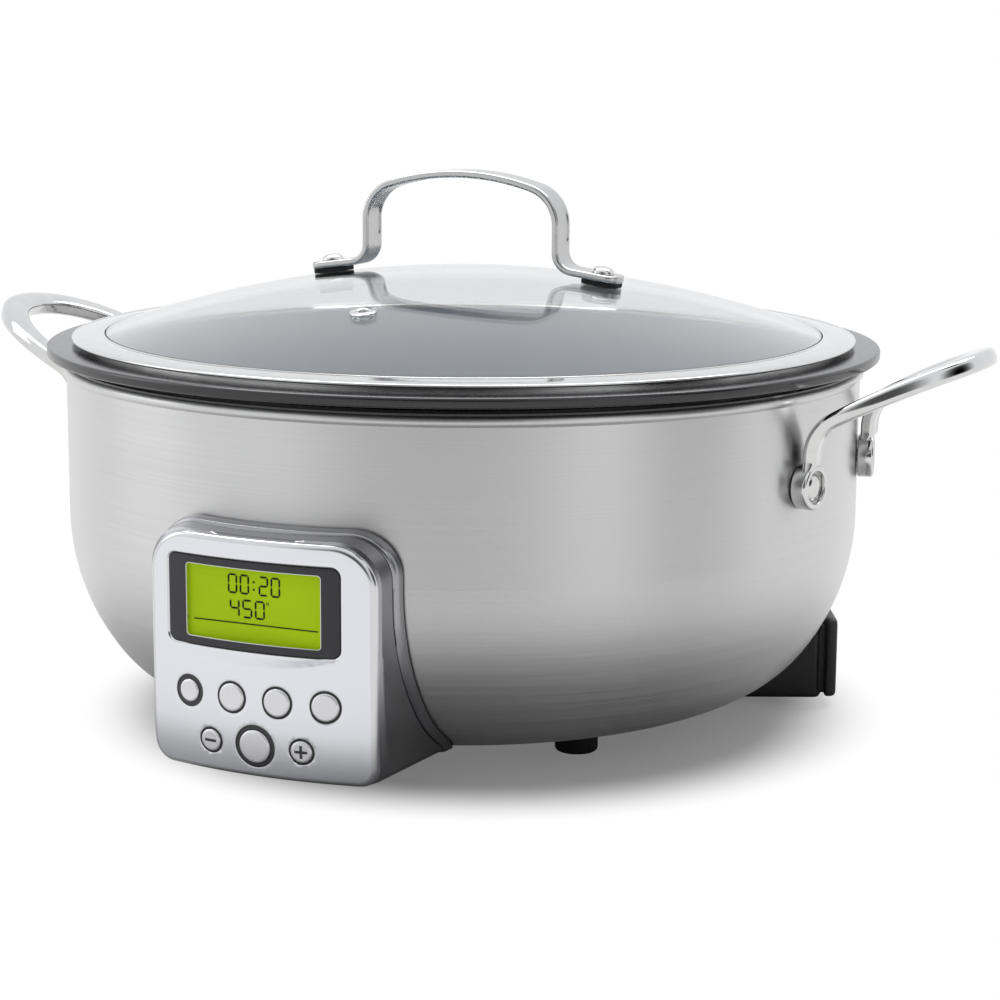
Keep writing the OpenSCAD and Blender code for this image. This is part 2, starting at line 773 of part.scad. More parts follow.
// One bar swept along both legs and the loop, with a flattened round section
module handle_bar() {
    rings = concat(handle_half(-1), handle_loop(), backwards(handle_half(1)));
    last = len(rings) - 1;
    function flat_round(c) = sign(c) * pow(abs(c), 0.75);
    points = [for (ring = rings, j = [0:bar_sides - 1]) let (
        a = 360 * (j + 0.5) / bar_sides,
        half_w = (handle_leg_w + (handle_w - handle_leg_w) * ring[3]) / 2,
        half_t = (handle_t + (handle_tip_t - handle_t) * ring[3]) / 2)
        ring[0]
            + cross(ring[1], ring[2]) * half_w * flat_round(cos(a))
            + ring[2] * half_t * flat_round(sin(a))];
    walls = [for (i = [0:last - 1], j = [0:bar_sides - 1]) let (
        p = i * bar_sides + j,
        q = i * bar_sides + (j + 1) % bar_sides)
        each [[p, q, p + bar_sides], [q, q + bar_sides, p + bar_sides]]];
    ends = [for (j = [1:bar_sides - 2]) each [
        [0, j + 1, j],
        [last * bar_sides, last * bar_sides + j, last * bar_sides + j + 1]]];
    polyhedron(points, concat(walls, ends));
}

// A loop of flat bar with a round boss at each leg, riveted to the housing
module side_handle(side) {
    color("silver") mirror([side < 0 ? 1 : 0, 0, 0]) difference() {
        union() {
            handle_bar();
            for (end = [-1, 1])
                at_boss(1, end) translate([0, 0, 2 * seat_gap])
                    cylinder(d = boss_d, h = boss_t - 2 * seat_gap);
        }
        for (end = [-1, 1]) at_boss(1, end) {
            translate([0, 0, boss_t - recess_depth]) cylinder(d = recess_d, h = boss_d);
            translate([0, 0, -1]) cylinder(r = rivet_shank_r + screw_fit, h = boss_d);
        }
    }
}

module handle_left() { side_handle(-1); }

module handle_right() { side_handle(1); }

module handle_rivets() {
    shank_l = boss_t - recess_depth + bowl_wall;
    color("silver") for (side = [-1, 1], end = [-1, 1])
        at_boss(side, end) {
            translate([0, 0, boss_t - recess_depth])
                rivet(rivet_head_d, rivet_head_h, rivet_shank_r, shank_l + rivet_tail_t);
            translate([0, 0, -bowl_wall - 2 * seat_gap - rivet_tail_t])
                cylinder(r = rivet_tail_r, h = rivet_tail_t);
        }
}

// A wedge that fills the space under the bowl's curve, with an upright end plate behind a narrow neck
module cord_cleat(side) {
    post_l = cleat_out - cleat_t - cleat_neck - heel_x;
    neck = [cleat_out - heel_x - cleat_t, cleat_post_w - 2 * cleat_neck, cleat_post_h - cleat_neck];
    mirror([side < 0 ? 1 : 0, 0, 0]) rotate([0, 0, cleat_angle]) color("black") difference() {
        union() {
            translate([heel_x + post_l / 2, 0, cleat_lift])
                round_block([post_l, cleat_post_w, cleat_post_h], cleat_round);
            translate([(heel_x + cleat_out) / 2, 0, cleat_lift + cleat_neck]) round_block(neck, 1);
            translate([cleat_out - cleat_t / 2, 0, cleat_lift + cleat_neck])
                round_block([cleat_t, cleat_w, cleat_h - cleat_neck], cleat_t / 2 - 0.5);
        }
        bowl_solid(-2 * seat_gap, bowl_top);
    }
}

module cord_cleat_left() { cord_cleat(-1); }

module cord_cleat_right() { cord_cleat(1); }

module inlet_housing() {
    color("black") difference() {
        translate([0, inlet_back - inlet_deep / 2, inlet_z]) round_block([inlet_w, inlet_deep, inlet_h], 4);
        bowl_solid(-2 * seat_gap, bowl_top);
        translate([0, inlet_back, inlet_z + inlet_h / 2]) rotate([90, 0, 0])
            socket_block(socket_wall + seat_gap, socket_depth + socket_wall + seat_gap, 1);
    }
}

// The inlet's opening, widened by grow, running inwards along Z for depth and outwards by lead
module socket_block(grow, depth, lead) {
    translate([0, 0, -lead])
        round_block([socket_w + 2 * grow, socket_h + 2 * grow, depth + lead], 3);
}

module power_inlet() {
    color("dimgray") translate([0, inlet_back, inlet_z + inlet_h / 2]) rotate([90, 0, 0])
        difference() {
            socket_block(socket_wall, socket_depth + socket_wall, 0);
            socket_block(0, socket_depth, 1);
            inlet_blades(socket_depth - 1, socket_depth + socket_wall + 1, screw_fit);
        }
}

// Three flat blades along Z, the middle one lower, widened by grow
module inlet_blades(from, to, grow) {
    for (i = [-1, 0, 1])
        translate([i * pin_pitch - pin_thick / 2 - grow, (i == 0 ? -1 : 1) * 2 - pin_w / 2 - grow, from])
            cube([pin_thick + 2 * grow, pin_w + 2 * grow, to - from]);
}

module inlet_pins() {
    color("silver") translate([0, inlet_back, inlet_z + inlet_h / 2]) rotate([90, 0, 0])
        inlet_blades(socket_depth - pin_l, socket_depth + socket_wall, 0);
}

module cooking_pan() {
    inside = cup_curve(pan_in_r, pan_corner - pan_wall, pan_z + pan_floor_t, pan_top);
    outside = cup_curve(pan_r, pan_corner, pan_z, flange_z);
    color("slategray") rotate_extrude()
        polygon(concat(
            [[0, pan_z]],
            outside,
            [[flange_r, flange_z], [flange_r, pan_top]],
            backwards(inside),
            [[0, pan_z + pan_floor_t]]));
}

module lid_rim() {
    under = pan_top + rim_lift;
    color("silver") rotate_extrude() polygon([
        [glass_r - ledge_w, pan_top - ledge_drop],
        [rim_in_r + rim_skirt, pan_top - ledge_drop],
        [rim_in_r + rim_skirt, under],
        [rim_foot_in, under],
        [rim_foot_in, pan_top],
        [rim_foot_in + rim_foot, pan_top],
        [rim_foot_in + rim_foot, under],
        [rim_r, under],
        [rim_r, under + rim_edge],
        [rim_in_r, dome_edge_z],
        [rim_in_r, pan_top - ledge_drop + ledge_t],
        [glass_r - ledge_w, pan_top - ledge_drop + ledge_t],
    ]);
}

module lid_glass() {
    color("azure") difference() {
        intersection() {
            translate([0, 0, dome_cz]) sphere(dome_r);
            translate([0, 0, pan_top - ledge_drop + ledge_t + seat_gap])
                cylinder(r = glass_r, h = 2 * dome_rise);
        }
        translate([0, 0, dome_cz]) sphere(dome_r - glass_t);
        for (side = [-1, 1]) at_dome(side * rivet_tilt, 0)
            translate([0, 0, -2 * glass_t]) cylinder(r = lid_rivet_shank_r + screw_fit, h = 3 * glass_t);
        at_dome(0, vent_tilt) translate([0, 0, -2 * glass_t])
            cylinder(r = vent_hole_r + screw_fit, h = 3 * glass_t);
    }
}

module lid_vent() {
    color("silver") at_dome(0, vent_tilt) {
        tube(vent_hole_r, eyelet_bore_r, -glass_t - seat_gap - eyelet_lip, seat_gap + eyelet_lip);
        tube(vent_d / 2, eyelet_bore_r, seat_gap, seat_gap + eyelet_lip);
        tube(vent_d / 2 - 1, eyelet_bore_r, -glass_t - 2 * seat_gap - eyelet_lip, -glass_t - 2 * seat_gap);
    }
}

// Middle line of the strap's right half, from the toe up to the middle of the arch
function strap_line() = let (
    foot = [strap_foot_r * sin(rivet_tilt), dome_cz + strap_foot_r * cos(rivet_tilt)],
    along = [-cos(rivet_tilt), sin(rivet_tilt)],
    bend_x = post_x + strap_bend,
    heel_x = bend_x - strap_bend * sin(rivet_tilt),
    heel = foot + along * (foot[0] - heel_x) / cos(rivet_tilt),
    bend_z = heel[1] + strap_bend * cos(rivet_tilt),
    arch_z = strap_top_z - strap_t / 2 - strap_arch,
    shoulder_x = post_x - strap_shoulder,
    shoulder_a = acos(shoulder_x / (strap_arch - strap_shoulder)),
    shoulder_z = arch_z + (strap_arch - strap_shoulder) * sin(shoulder_a))
    concat(
        [foot - along * strap_toe],
        arc(bend_x, bend_z, strap_bend, 270 - rivet_tilt, 180, 8),
        arc(shoulder_x, shoulder_z, strap_shoulder, 0, shoulder_a, 8),
        arc(0, arch_z, strap_arch, shoulder_a, 90, 6, 1));

// A line thickened to both sides
function thickened(line, t) = let (
    last = len(line) - 1,
    normals = [for (i = [0:last]) let (
        d = line[min(i + 1, last)] - line[max(i - 1, 0)])
        [-d[1], d[0]] / norm(d)])
    concat(
        [for (i = [0:last]) line[i] + normals[i] * t / 2],
        [for (i = [last:-1:0]) line[i] - normals[i] * t / 2]);

module lid_handle() {
    right = strap_line();
    left = [for (p = backwards(right)) [-p[0], p[1]]];
    whole = concat(right, [for (i = [1:len(left) - 1]) left[i]]);
    color("silver") difference() {
        translate([0, strap_w / 2, 0]) rotate([90, 0, 0])
            linear_extrude(strap_w) polygon(thickened(whole, strap_t));
        for (side = [-1, 1]) at_dome(side * rivet_tilt, 0)
            cylinder(r = lid_rivet_shank_r + screw_fit, h = strap_rise / 2);
    }
}

module lid_spacers() {
    color("black") for (side = [-1, 1]) at_dome(side * rivet_tilt, 0)
        translate([0, 0, seat_gap]) difference() {
            round_block([spacer_l, strap_w - 1, spacer_t], 4);
            translate([0, 0, -1]) cylinder(r = lid_rivet_shank_r + screw_fit, h = spacer_t + 2);
        }
}

module lid_rivets() {
    head_z = spacer_t + strap_t + 3 * seat_gap;
    color("silver") for (side = [-1, 1]) at_dome(side * rivet_tilt, 0)
        translate([0, 0, head_z])
            rivet(lid_rivet_head_d, lid_rivet_head_h, lid_rivet_shank_r, head_z + glass_t + lid_nut_h - 1);
}

module lid_nuts() {
    under = -glass_t - 2 * seat_gap;
    color("lightgray") for (side = [-1, 1]) at_dome(side * rivet_tilt, 0)
        difference() {
            translate([0, 0, under]) mirror([0, 0, 1]) rotate_extrude()
                polygon([
                    [0, 0], [lid_nut_d / 2, 0], [lid_nut_d / 2, lid_nut_h - 1.5],
                    [lid_nut_d / 2 - 1.5, lid_nut_h], [0, lid_nut_h]]);
            translate([0, 0, under - lid_nut_h + 0.8])
                cylinder(r = lid_rivet_shank_r + screw_fit, h = lid_nut_h);
        }
}

housing_shell();
heating_well();
heating_plate();
heating_element();
plate_standoffs();
sensor_guide();
sensor_spring();
thermal_cutout();
power_board();
board_posts();
power_components();
base_cover();
base_screws();
rubber_feet();
control_housing();
control_gasket();
display_bezel();
display_lens();
lcd_module();
control_board();
tact_switches();
board_screws();
button_rings();
handle_left();
handle_right();
handle_rivets();
cord_cleat_left();
cord_cleat_right();
inlet_housing();
power_inlet();
inlet_pins();
for (b = BUTTONS) panel_button(b);
sensor_cap();
cooking_pan();
lid_rim();
lid_glass();
lid_vent();
lid_handle();
lid_spacers();
lid_rivets();
lid_nuts();
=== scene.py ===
import bmesh
import bpy
import numpy as np
from mathutils import Matrix, geometry


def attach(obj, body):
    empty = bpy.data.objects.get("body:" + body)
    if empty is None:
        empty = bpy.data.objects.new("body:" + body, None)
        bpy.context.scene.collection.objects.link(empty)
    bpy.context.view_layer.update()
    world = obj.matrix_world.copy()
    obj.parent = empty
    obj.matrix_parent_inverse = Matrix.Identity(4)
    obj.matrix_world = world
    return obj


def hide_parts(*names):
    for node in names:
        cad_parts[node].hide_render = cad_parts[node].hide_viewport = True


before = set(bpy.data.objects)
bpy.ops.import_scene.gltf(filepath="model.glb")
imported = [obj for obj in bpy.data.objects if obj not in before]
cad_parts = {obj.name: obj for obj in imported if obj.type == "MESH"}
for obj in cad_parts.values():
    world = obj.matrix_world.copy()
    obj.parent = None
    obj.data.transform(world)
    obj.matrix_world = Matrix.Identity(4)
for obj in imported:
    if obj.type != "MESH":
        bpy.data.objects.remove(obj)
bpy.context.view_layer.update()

scene = bpy.context.scene
scene.view_settings.view_transform = "Standard"


# Camera: a long lens a metre away, to the right of the control panel and a little above the lid.
# It looks down by 11 degrees, and its slight roll follows the slope of the rims in the photograph.
def stand(thing, right, top, back, place):
    """Puts a thing in the scene by its three axes and its place."""
    pose = np.eye(4)
    pose[:3] = np.stack([right, top, back, place], 1)
    thing.matrix_world = Matrix(pose.tolist())
    scene.collection.objects.link(thing)


turn, pitch, roll = np.radians((23.8, 10.75, 0.40))
level = np.array((np.cos(turn), np.sin(turn), 0.0))
behind = np.array((np.sin(turn) * np.cos(pitch), -np.cos(turn) * np.cos(pitch), np.sin(pitch)))
upright = np.cross(behind, level)
camera = bpy.data.objects.new("studio_camera", bpy.data.cameras.new("studio_camera"))
camera.data.lens = 88.84
camera.data.sensor_width = 36.0
camera.data.clip_start = 0.05
camera.data.clip_end = 50.0
stand(camera, np.cos(roll) * level + np.sin(roll) * upright, np.cos(roll) * upright - np.sin(roll) * level,
      behind, (0.4381, -0.9544, 0.2870))
scene.camera = camera


# Studio: a white sweep of paper under two soft boxes, with a light tent round it.
# The paper turns pure white away from the object, and keeps the object's own shadow near it.
def new_node(tree, kind, *feeds, **settings):
    """A shader node with these settings; sockets, values or nothing feed its inputs in order."""
    node = tree.nodes.new("ShaderNode" + kind)
    for name, value in settings.items():
        setattr(node, name, value)
    for socket, feed in zip(node.inputs, feeds):
        if isinstance(feed, bpy.types.NodeSocket):
            tree.links.new(feed, socket)
        elif feed is not None:
            socket.default_value = feed
    return node


def combine(tree, operation, one, two):
    """One value from two, by a named step of arithmetic."""
    return new_node(tree, "Math", one, two, operation=operation).outputs[0]


def kind_of_ray(tree, *flags):
    """1 for the kinds of ray named, as the largest of their Light Path flags."""
    path = new_node(tree, "LightPath")
    total = path.outputs[flags[0]]
    for flag in flags[1:]:
        total = combine(tree, "MAXIMUM", total, path.outputs[flag])
    return total


def ramp(tree, value, low, high, left, right):
    """A soft step from left to right as a value goes from low to high."""
    step = new_node(tree, "MapRange", value, low, high, left, right, interpolation_type="SMOOTHSTEP")
    return step.outputs[0]


# Metres over which the paper turns white, as seen and as metal mirrors it, with the share of white
# that is seen before that, and how much narrower the mirrored oval is across than deep
seen_from, seen_to, seen_near, mirror_from, mirror_to, squeeze = 0.125, 0.176, 0.17, 0.19, 0.34, 0.925
paper = bpy.data.materials.new("white_paper")
paper.use_nodes = True
tree = paper.node_tree
tree.nodes.remove(tree.nodes["Principled BSDF"])
place = new_node(tree, "TexCoord").outputs["Object"]
away = new_node(tree, "VectorMath", place, (0.01, 0.0, 0.0), operation="DISTANCE").outputs["Value"]
plain = ramp(tree, away, seen_from, seen_to, seen_near, 1.0)
oval = new_node(tree, "Mapping", place, None, (0, 0, turn), (squeeze, 1.0, 1.0), vector_type="TEXTURE")
reach = new_node(tree, "VectorMath", oval.outputs[0], operation="LENGTH").outputs["Value"]
mirrored = ramp(tree, reach, mirror_from, mirror_to, 0.0, 1.0)
as_seen = combine(tree, "MULTIPLY", plain, kind_of_ray(tree, "Is Camera Ray", "Is Transmission Ray"))
in_metal = combine(tree, "MULTIPLY", mirrored, kind_of_ray(tree, "Is Glossy Ray"))
matte = new_node(tree, "BsdfDiffuse", (0.70, 0.70, 0.705, 1)).outputs[0]
bright = new_node(tree, "Emission", None, 1.0).outputs[0]
blend = new_node(tree, "MixShader", combine(tree, "MAXIMUM", as_seen, in_metal), matte, bright)
tree.links.new(blend.outputs[0], tree.nodes["Material Output"].inputs["Surface"])
floor_mesh = bpy.data.meshes.new("paper_floor")
floor_mesh.from_pydata([(-8, -8, 0), (8, -8, 0), (8, 8, 0), (-8, 8, 0)], [], [(0, 1, 2, 3)])
floor_mesh.materials.append(paper)
floor = bpy.data.objects.new("paper_floor", floor_mesh)
scene.collection.objects.link(floor)

world = bpy.data.worlds.new("light_tent")
scene.world = world
world.use_nodes = True
tree = world.node_tree
tent = tree.nodes["Background"]
tent.inputs["Color"].default_value = (0.97, 0.98, 1.0, 1)
toward = new_node(tree, "TexCoord").outputs["Generated"]
# Dark gaps in the tent: direction, half width as a cosine, and the light left in the middle
gaps = (((0.30, -0.95, 0.15), 0.70, 0.10), ((0.99, 0.03, 0.26), 0.905, 0.0), ((0.55, 0.06, 0.82), 0.972, 0.0))
shade, tent_fill = None, 0.17
for direction, edge, left in gaps:
    aim = np.array(direction) / np.linalg.norm(direction)
    dot = new_node(tree, "VectorMath", toward, aim, operation="DOT_PRODUCT").outputs["Value"]
    gap = ramp(tree, dot, edge, 1.0, 1.0, left)
    shade = gap if shade is None else combine(tree, "MULTIPLY", shade, gap)
strength = ramp(tree, kind_of_ray(tree, "Is Glossy Ray"), 0.0, 1.0, tent_fill, shade)
tree.links.new(strength, tent.inputs["Strength"])
white = new_node(tree, "Background", (1, 1, 1, 1)).outputs[0]
by_eye = kind_of_ray(tree, "Is Camera Ray", "Is Transmission Ray")
blend = new_node(tree, "MixShader", by_eye, tent.outputs[0], white)
tree.links.new(blend.outputs[0], tree.nodes["World Output"].inputs["Surface"])

for name, place, size, power in (("top_soft_box", (-0.20, 0.45, 1.7), (2.4, 0.8), 30.0),
                                 ("left_soft_box", (-1.9, -0.6, 0.9), (1.0, 1.3), 4.0)):
    lamp = bpy.data.lights.new(name, "AREA")
    lamp.shape = "RECTANGLE"
    lamp.size, lamp.size_y = size
    lamp.energy = power
    box = bpy.data.objects.new(name, lamp)
    aim = np.array((0.0, 0.0, 0.1)) - place
    aim /= np.linalg.norm(aim)
    across = np.cross(aim, (0, 0.05, 1.0))
    across /= np.linalg.norm(across)
    stand(box, across, np.cross(across, aim), -aim, place)


# Housing: a deep-drawn bowl of 1.2 mm stainless steel, brushed round and round, with a rolled lip.
# Its side curves in through two arcs to a flat bottom that is open in the middle for the base cover.
def arc_points(x, z, radius, start, end, count):
    """Points on a circle about (x, z), at even angles from start to end in degrees."""
    a = np.radians(np.linspace(start, end, count))
    return np.stack([x + radius * np.cos(a), z + radius * np.sin(a)], 1)


def sheet(points, close_rows=False, close_cols=True, finish=0):
    """Quads over a grid of points, each to its neighbours in the next row and column, round where closed."""
    points = np.asarray(points, float)
    rows, cols = points.shape[:2]
    i = np.arange(rows if close_rows else rows - 1)[:, None]
    j = np.arange(cols if close_cols else cols - 1)[None]
    k, l = (i + 1) % rows, (j + 1) % cols
    quads = np.stack(np.broadcast_arrays(i * cols + j, i * cols + l, k * cols + l, k * cols + j), -1)
    return points.reshape(-1, 3), quads.reshape(-1, 4), finish


def turned(profile, steps=240, closed=True, finish=0):
    """A profile of (radius, height) turned about Z: one row for each point, one column for each angle.

    It is closed into a ring, or runs from pole to pole.
    """
    r, z = np.asarray(profile, float).T[..., None]
    a = np.linspace(0, 2 * np.pi, steps, endpoint=False)
    return sheet(np.stack([r * np.cos(a), r * np.sin(a), z + 0 * a], -1), closed, finish=finish)


def make_piece(name, sheets, finishes, body, nodes, crease=38):
    """One object from sheets in millimetres: doubles merge, so seams and poles close; faces turn outwards."""
    start = np.cumsum([0] + [len(points) for points, quads, finish in sheets])
    mesh = bpy.data.meshes.new(name)
    faces = [face for first, (points, quads, finish) in zip(start, sheets)
             for face in (np.asarray(quads) + first).tolist()]
    mesh.from_pydata((np.concatenate([points for points, q, f in sheets]) * 0.001).tolist(), [], faces)
    for finish in finishes:
        mesh.materials.append(finish)
    slots = np.repeat([finish for p, q, finish in sheets], [len(quads) for p, quads, f in sheets])
    mesh.polygons.foreach_set("material_index", slots)
    work = bmesh.new()
    work.from_mesh(mesh)
    bmesh.ops.remove_doubles(work, verts=work.verts, dist=2e-6)
    bmesh.ops.recalc_face_normals(work, faces=work.faces)
    work.to_mesh(mesh)
    work.free()
    mesh.polygons.foreach_set("use_smooth", np.ones(len(mesh.polygons), bool))
    mesh.set_sharp_from_angle(angle=np.radians(crease))
    piece = bpy.data.objects.new(name, mesh)
    scene.collection.objects.link(piece)
    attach(piece, body)
    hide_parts(*nodes)


def add_grain(made, cells, rough=None, tint=None, bump=None, detail=3.0):
    """Noise on Object coordinates, with this many cells to the metre, or as many along X, Y and Z.

    It spreads the roughness between two values, the colour between two colours, and
    raises the surface by a share of a depth in metres.
    """
    tree, low, high = made.node_tree, 0.3, 0.7
    shader = tree.nodes["Principled BSDF"]
    place = new_node(tree, "TexCoord").outputs["Object"]
    scaled = new_node(tree, "Mapping", place, None, None, np.broadcast_to(cells, 3)).outputs[0]
    noise = new_node(tree, "TexNoise", scaled, None, 1.0, detail).outputs["Fac"]
    if rough:
        spread = new_node(tree, "MapRange", noise, low, high, *rough).outputs[0]
        tree.links.new(spread, shader.inputs["Roughness"])
    if tint:
        mix = new_node(tree, "Mix", data_type="RGBA")
        mix.inputs["A"].default_value = (*tint[0], 1)
        mix.inputs["B"].default_value = (*tint[1], 1)
        tree.links.new(new_node(tree, "MapRange", noise, low, high).outputs[0], mix.inputs["Factor"])
        tree.links.new(mix.outputs["Result"], shader.inputs["Base Color"])
    if bump:
        raised = new_node(tree, "Bump")
        raised.inputs["Strength"].default_value, raised.inputs["Distance"].default_value = bump
        tree.links.new(noise, raised.inputs["Height"])
        if shader.inputs["Normal"].links:
            tree.links.new(shader.inputs["Normal"].links[0].from_socket, raised.inputs["Normal"])
        tree.links.new(raised.outputs["Normal"], shader.inputs["Normal"])


def new_finish(name, metal, cells, rough, tint, bump=None, detail=3.0, **sockets):
    """A material of one shader with its grain; the tint is two colours, or one where it is even."""
    made = bpy.data.materials.new(name)
    made.use_nodes = True
    shader = made.node_tree.nodes["Principled BSDF"]
    colour = (*np.mean(np.atleast_2d(tint), 0), 1)
    sockets |= {"Base_Color": colour, "Metallic": metal, "Roughness": np.mean(rough)}
    for socket, value in sockets.items():
        shader.inputs[socket.replace("_", " ")].default_value = value
    add_grain(made, cells, rough, tint if np.ndim(tint) == 2 else None, bump, detail)
    return made


def along_rings(made):
    """Sets a brushed finish's grain along rings about Z, so that its highlights run long across the rings."""
    shader = made.node_tree.nodes["Principled BSDF"]
    tangent = new_node(made.node_tree, "Tangent", direction_type="RADIAL", axis="Z").outputs[0]
    made.node_tree.links.new(tangent, shader.inputs["Tangent"])
    shader.inputs["Anisotropic Rotation"].default_value = 0.25


heel, haunch, split = (106.62, 65.0, 54.0), (76.0, 87.5, 92.0), 36.31
bowl_r, bowl_low, bowl_t, base_hole_r = 168.0, 11.0, 1.2, 92.66
lip_x, lip_z, lip_r, side_mid, side_top = 167.6, 148.1, 1.9, 120.0, 145.9


def bowl_arcs(inset):
    """The two arcs of the bowl's side, from its bottom up, moved inwards."""
    return np.concatenate([arc_points(heel[0], heel[1], heel[2] - inset, -90, -split, 34),
                           arc_points(haunch[0], haunch[1], haunch[2] - inset, -split, 0, 30)[1:]])


brushed_steel = new_finish(
    "brushed_steel", 1.0, (7, 7, 1500), (0.30, 0.38), ((0.595, 0.595, 0.593), (0.645, 0.645, 0.643)),
    (0.08, 0.0002), Anisotropic=0.85)
add_grain(brushed_steel, (3, 3, 300), bump=(0.03, 0.0004))
along_rings(brushed_steel)
housing_line = np.concatenate([
    [(base_hole_r, bowl_low)], bowl_arcs(0), [(bowl_r, side_mid), (bowl_r, side_top)],
    arc_points(lip_x, lip_z, lip_r, -62, 205, 30),
    [(bowl_r - bowl_t, side_mid)], bowl_arcs(bowl_t)[::-1], [(base_hole_r, bowl_low + bowl_t)]])
make_piece("housing", [turned(housing_line, 320)], [brushed_steel], "base", ["housing_shell"])


# Heating well: a black enamelled steel cup that hangs by its flange from the housing's lip.
# It carries the plate, the element and the sensor, and shows only when the pan is lifted out.
def cup_line(radius, corner, floor_z, top):
    """A round corner from a flat floor up to a straight side."""
    bend = arc_points(radius - corner, floor_z + corner, corner, -90, 0, 26)
    return np.concatenate([bend, [(radius, top)]])


enamel = new_finish(
    "black_enamel", 0.0, 900, (0.28, 0.45), ((0.014, 0.014, 0.016), (0.03, 0.03, 0.034)), (0.12, 0.0003),
    Coat_Weight=0.5, Coat_Roughness=0.15)
well_r, well_corner, well_low, well_top, well_t, well_hole_r = 159.8, 48.8, 36.2, 150.1, 0.8, 7.0
well_line = np.concatenate([
    [(well_hole_r, well_low)], cup_line(well_r, well_corner, well_low, well_top),
    [(lip_x, well_top), (lip_x, well_top + well_t)],
    cup_line(well_r - well_t, well_corner - well_t, well_low + well_t, well_top + well_t)[::-1],
    [(well_hole_r, well_low + well_t)]])
make_piece("heating_well_cup", [turned(well_line)], [enamel], "base", ["heating_well"])


# Heating plate: cast aluminium, turned flat on top, so fine rings run round its face.
# The pan sits on it, and the sensor comes up through the hole in its middle.
cast_aluminium = new_finish(
    "turned_aluminium", 1.0, (260, 260, 60), (0.34, 0.52), ((0.48, 0.48, 0.49), (0.6, 0.6, 0.61)),
    (0.15, 0.0002), Anisotropic=0.4)
along_rings(cast_aluminium)
plate_r, plate_hole_r, plate_low, plate_top, ring_count, ring_depth = 98.0, 12.0, 44.0, 52.0, 140, 0.12
edge_z = plate_top - 0.8
ring_z = plate_top - ring_depth * (np.arange(ring_count) % 2)
ridges = np.stack([np.linspace(13.0, 96.5, ring_count), ring_z], 1)
plate_line = np.concatenate([
    [(plate_hole_r, plate_low), (plate_hole_r, edge_z), (plate_hole_r + 0.6, plate_top)], ridges,
    [(plate_r - 0.7, plate_top), (plate_r, edge_z), (plate_r, plate_low)]])
make_piece("heating_plate_disc", [turned(plate_line)], [cast_aluminium], "base", ["heating_plate"],
           crease=60)


# Inner works: element, posts, guide, spring, cut-out, boards and switches, as built in the solids.
# They sit under the plate and behind the panel; each keeps its solid and gets its own finish.
def dress(finish, *nodes):
    """Gives solids of the frame a better finish, slot by slot."""
    for node in nodes:
        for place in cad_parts[node].material_slots:
            place.material = finish


sheath = new_finish("element_sheath", 1.0, 300, (0.3, 0.5), ((0.11, 0.10, 0.10), (0.2, 0.185, 0.17)))
zinc = new_finish("zinc_steel", 1.0, 220, (0.28, 0.45), ((0.48, 0.48, 0.47), (0.6, 0.6, 0.6)))
ceramic = new_finish(
    "ceramic_body", 0.0, 800, (0.6, 0.8), ((0.56, 0.51, 0.44), (0.68, 0.63, 0.56)), (0.1, 0.0002))
board_green = new_finish("board_lacquer", 0.0, 350, (0.3, 0.45), ((0.012, 0.09, 0.035), (0.03, 0.15, 0.06)))
moulded_black = new_finish(
    "moulded_black", 0.0, 1500, (0.36, 0.56), ((0.013, 0.013, 0.015), (0.026, 0.026, 0.029)), (0.10, 0.0002))
moulded_white = new_finish("moulded_white", 0.0, 900, (0.42, 0.58), ((0.66, 0.66, 0.64), (0.74, 0.74, 0.72)))
dress(sheath, "heating_element")
dress(zinc, "plate_standoffs", "sensor_guide", "sensor_spring", "base_screws", "board_screws", "sensor_cap")
dress(ceramic, "thermal_cutout")
dress(board_green, "power_board", "control_board")
dress(moulded_white, "board_posts")
dress(moulded_black, "power_components", "tact_switches")


# Base cover and feet: a dark pressed plate held by six screws, and four rubber feet under it.
# The front foot shows as a small black stub between the panel and the rear cleat.
cover_black = new_finish(
    "base_cover_paint", 0.0, 1100, (0.42, 0.6), ((0.022, 0.022, 0.024), (0.04, 0.04, 0.043)), (0.15, 0.0003))
dress(cover_black, "base_cover")
rubber = new_finish(
    "foot_rubber", 0.0, 1400, (0.65, 0.85), ((0.010, 0.010, 0.011), (0.02, 0.02, 0.021)), (0.12, 0.0002))
foot_x, foot_y = 76.30, 55.43
foot_line = np.concatenate([[(0, 0.6), (4.5, 0.6), (5.2, 0.0)], arc_points(7.15, 1.6, 1.6, -90, 0, 9),
                            [(8.75, 6.0)], arc_points(8.25, 8.5, 0.5, 0, 90, 5), [(0, 9.0)]])
points, quads, finish = turned(foot_line, 64, closed=False)
feet = [(points + (foot_x * x, foot_y * y, 0), quads, finish)
        for x, y in ((1, 1), (-1, 1), (-1, -1), (1, -1))]
make_piece("feet", feet, [rubber], "base", ["rubber_feet"])


# Control housing: a moulded box in satin silver whose face follows the bowl in a wide curve.
# Its rim is rolled and polished, its flanks widen towards the bowl and end in a stepped collar on a gasket.
face_r, panel_half, panel_low, panel_high, round_top, round_low = 185.0, 47.5, 13.5, 104.5, 17.0, 8.0
window_x, window_half, window_low, window_high, window_r = -2.0, 36.2, 62.1, 95.9, 3.4
frame_half, frame_low, frame_high = 36.0, 62.3, 95.7
tuck_top, tuck_depth, hollow_half, hollow_sag, hollow_depth = 34.0, 2.4, 34.0, 5.6, 0.9
rim_roll, hole_gap, window_gap, box_front, gasket_t = 2.2, 0.45, 0.75, 186.0, 1.5
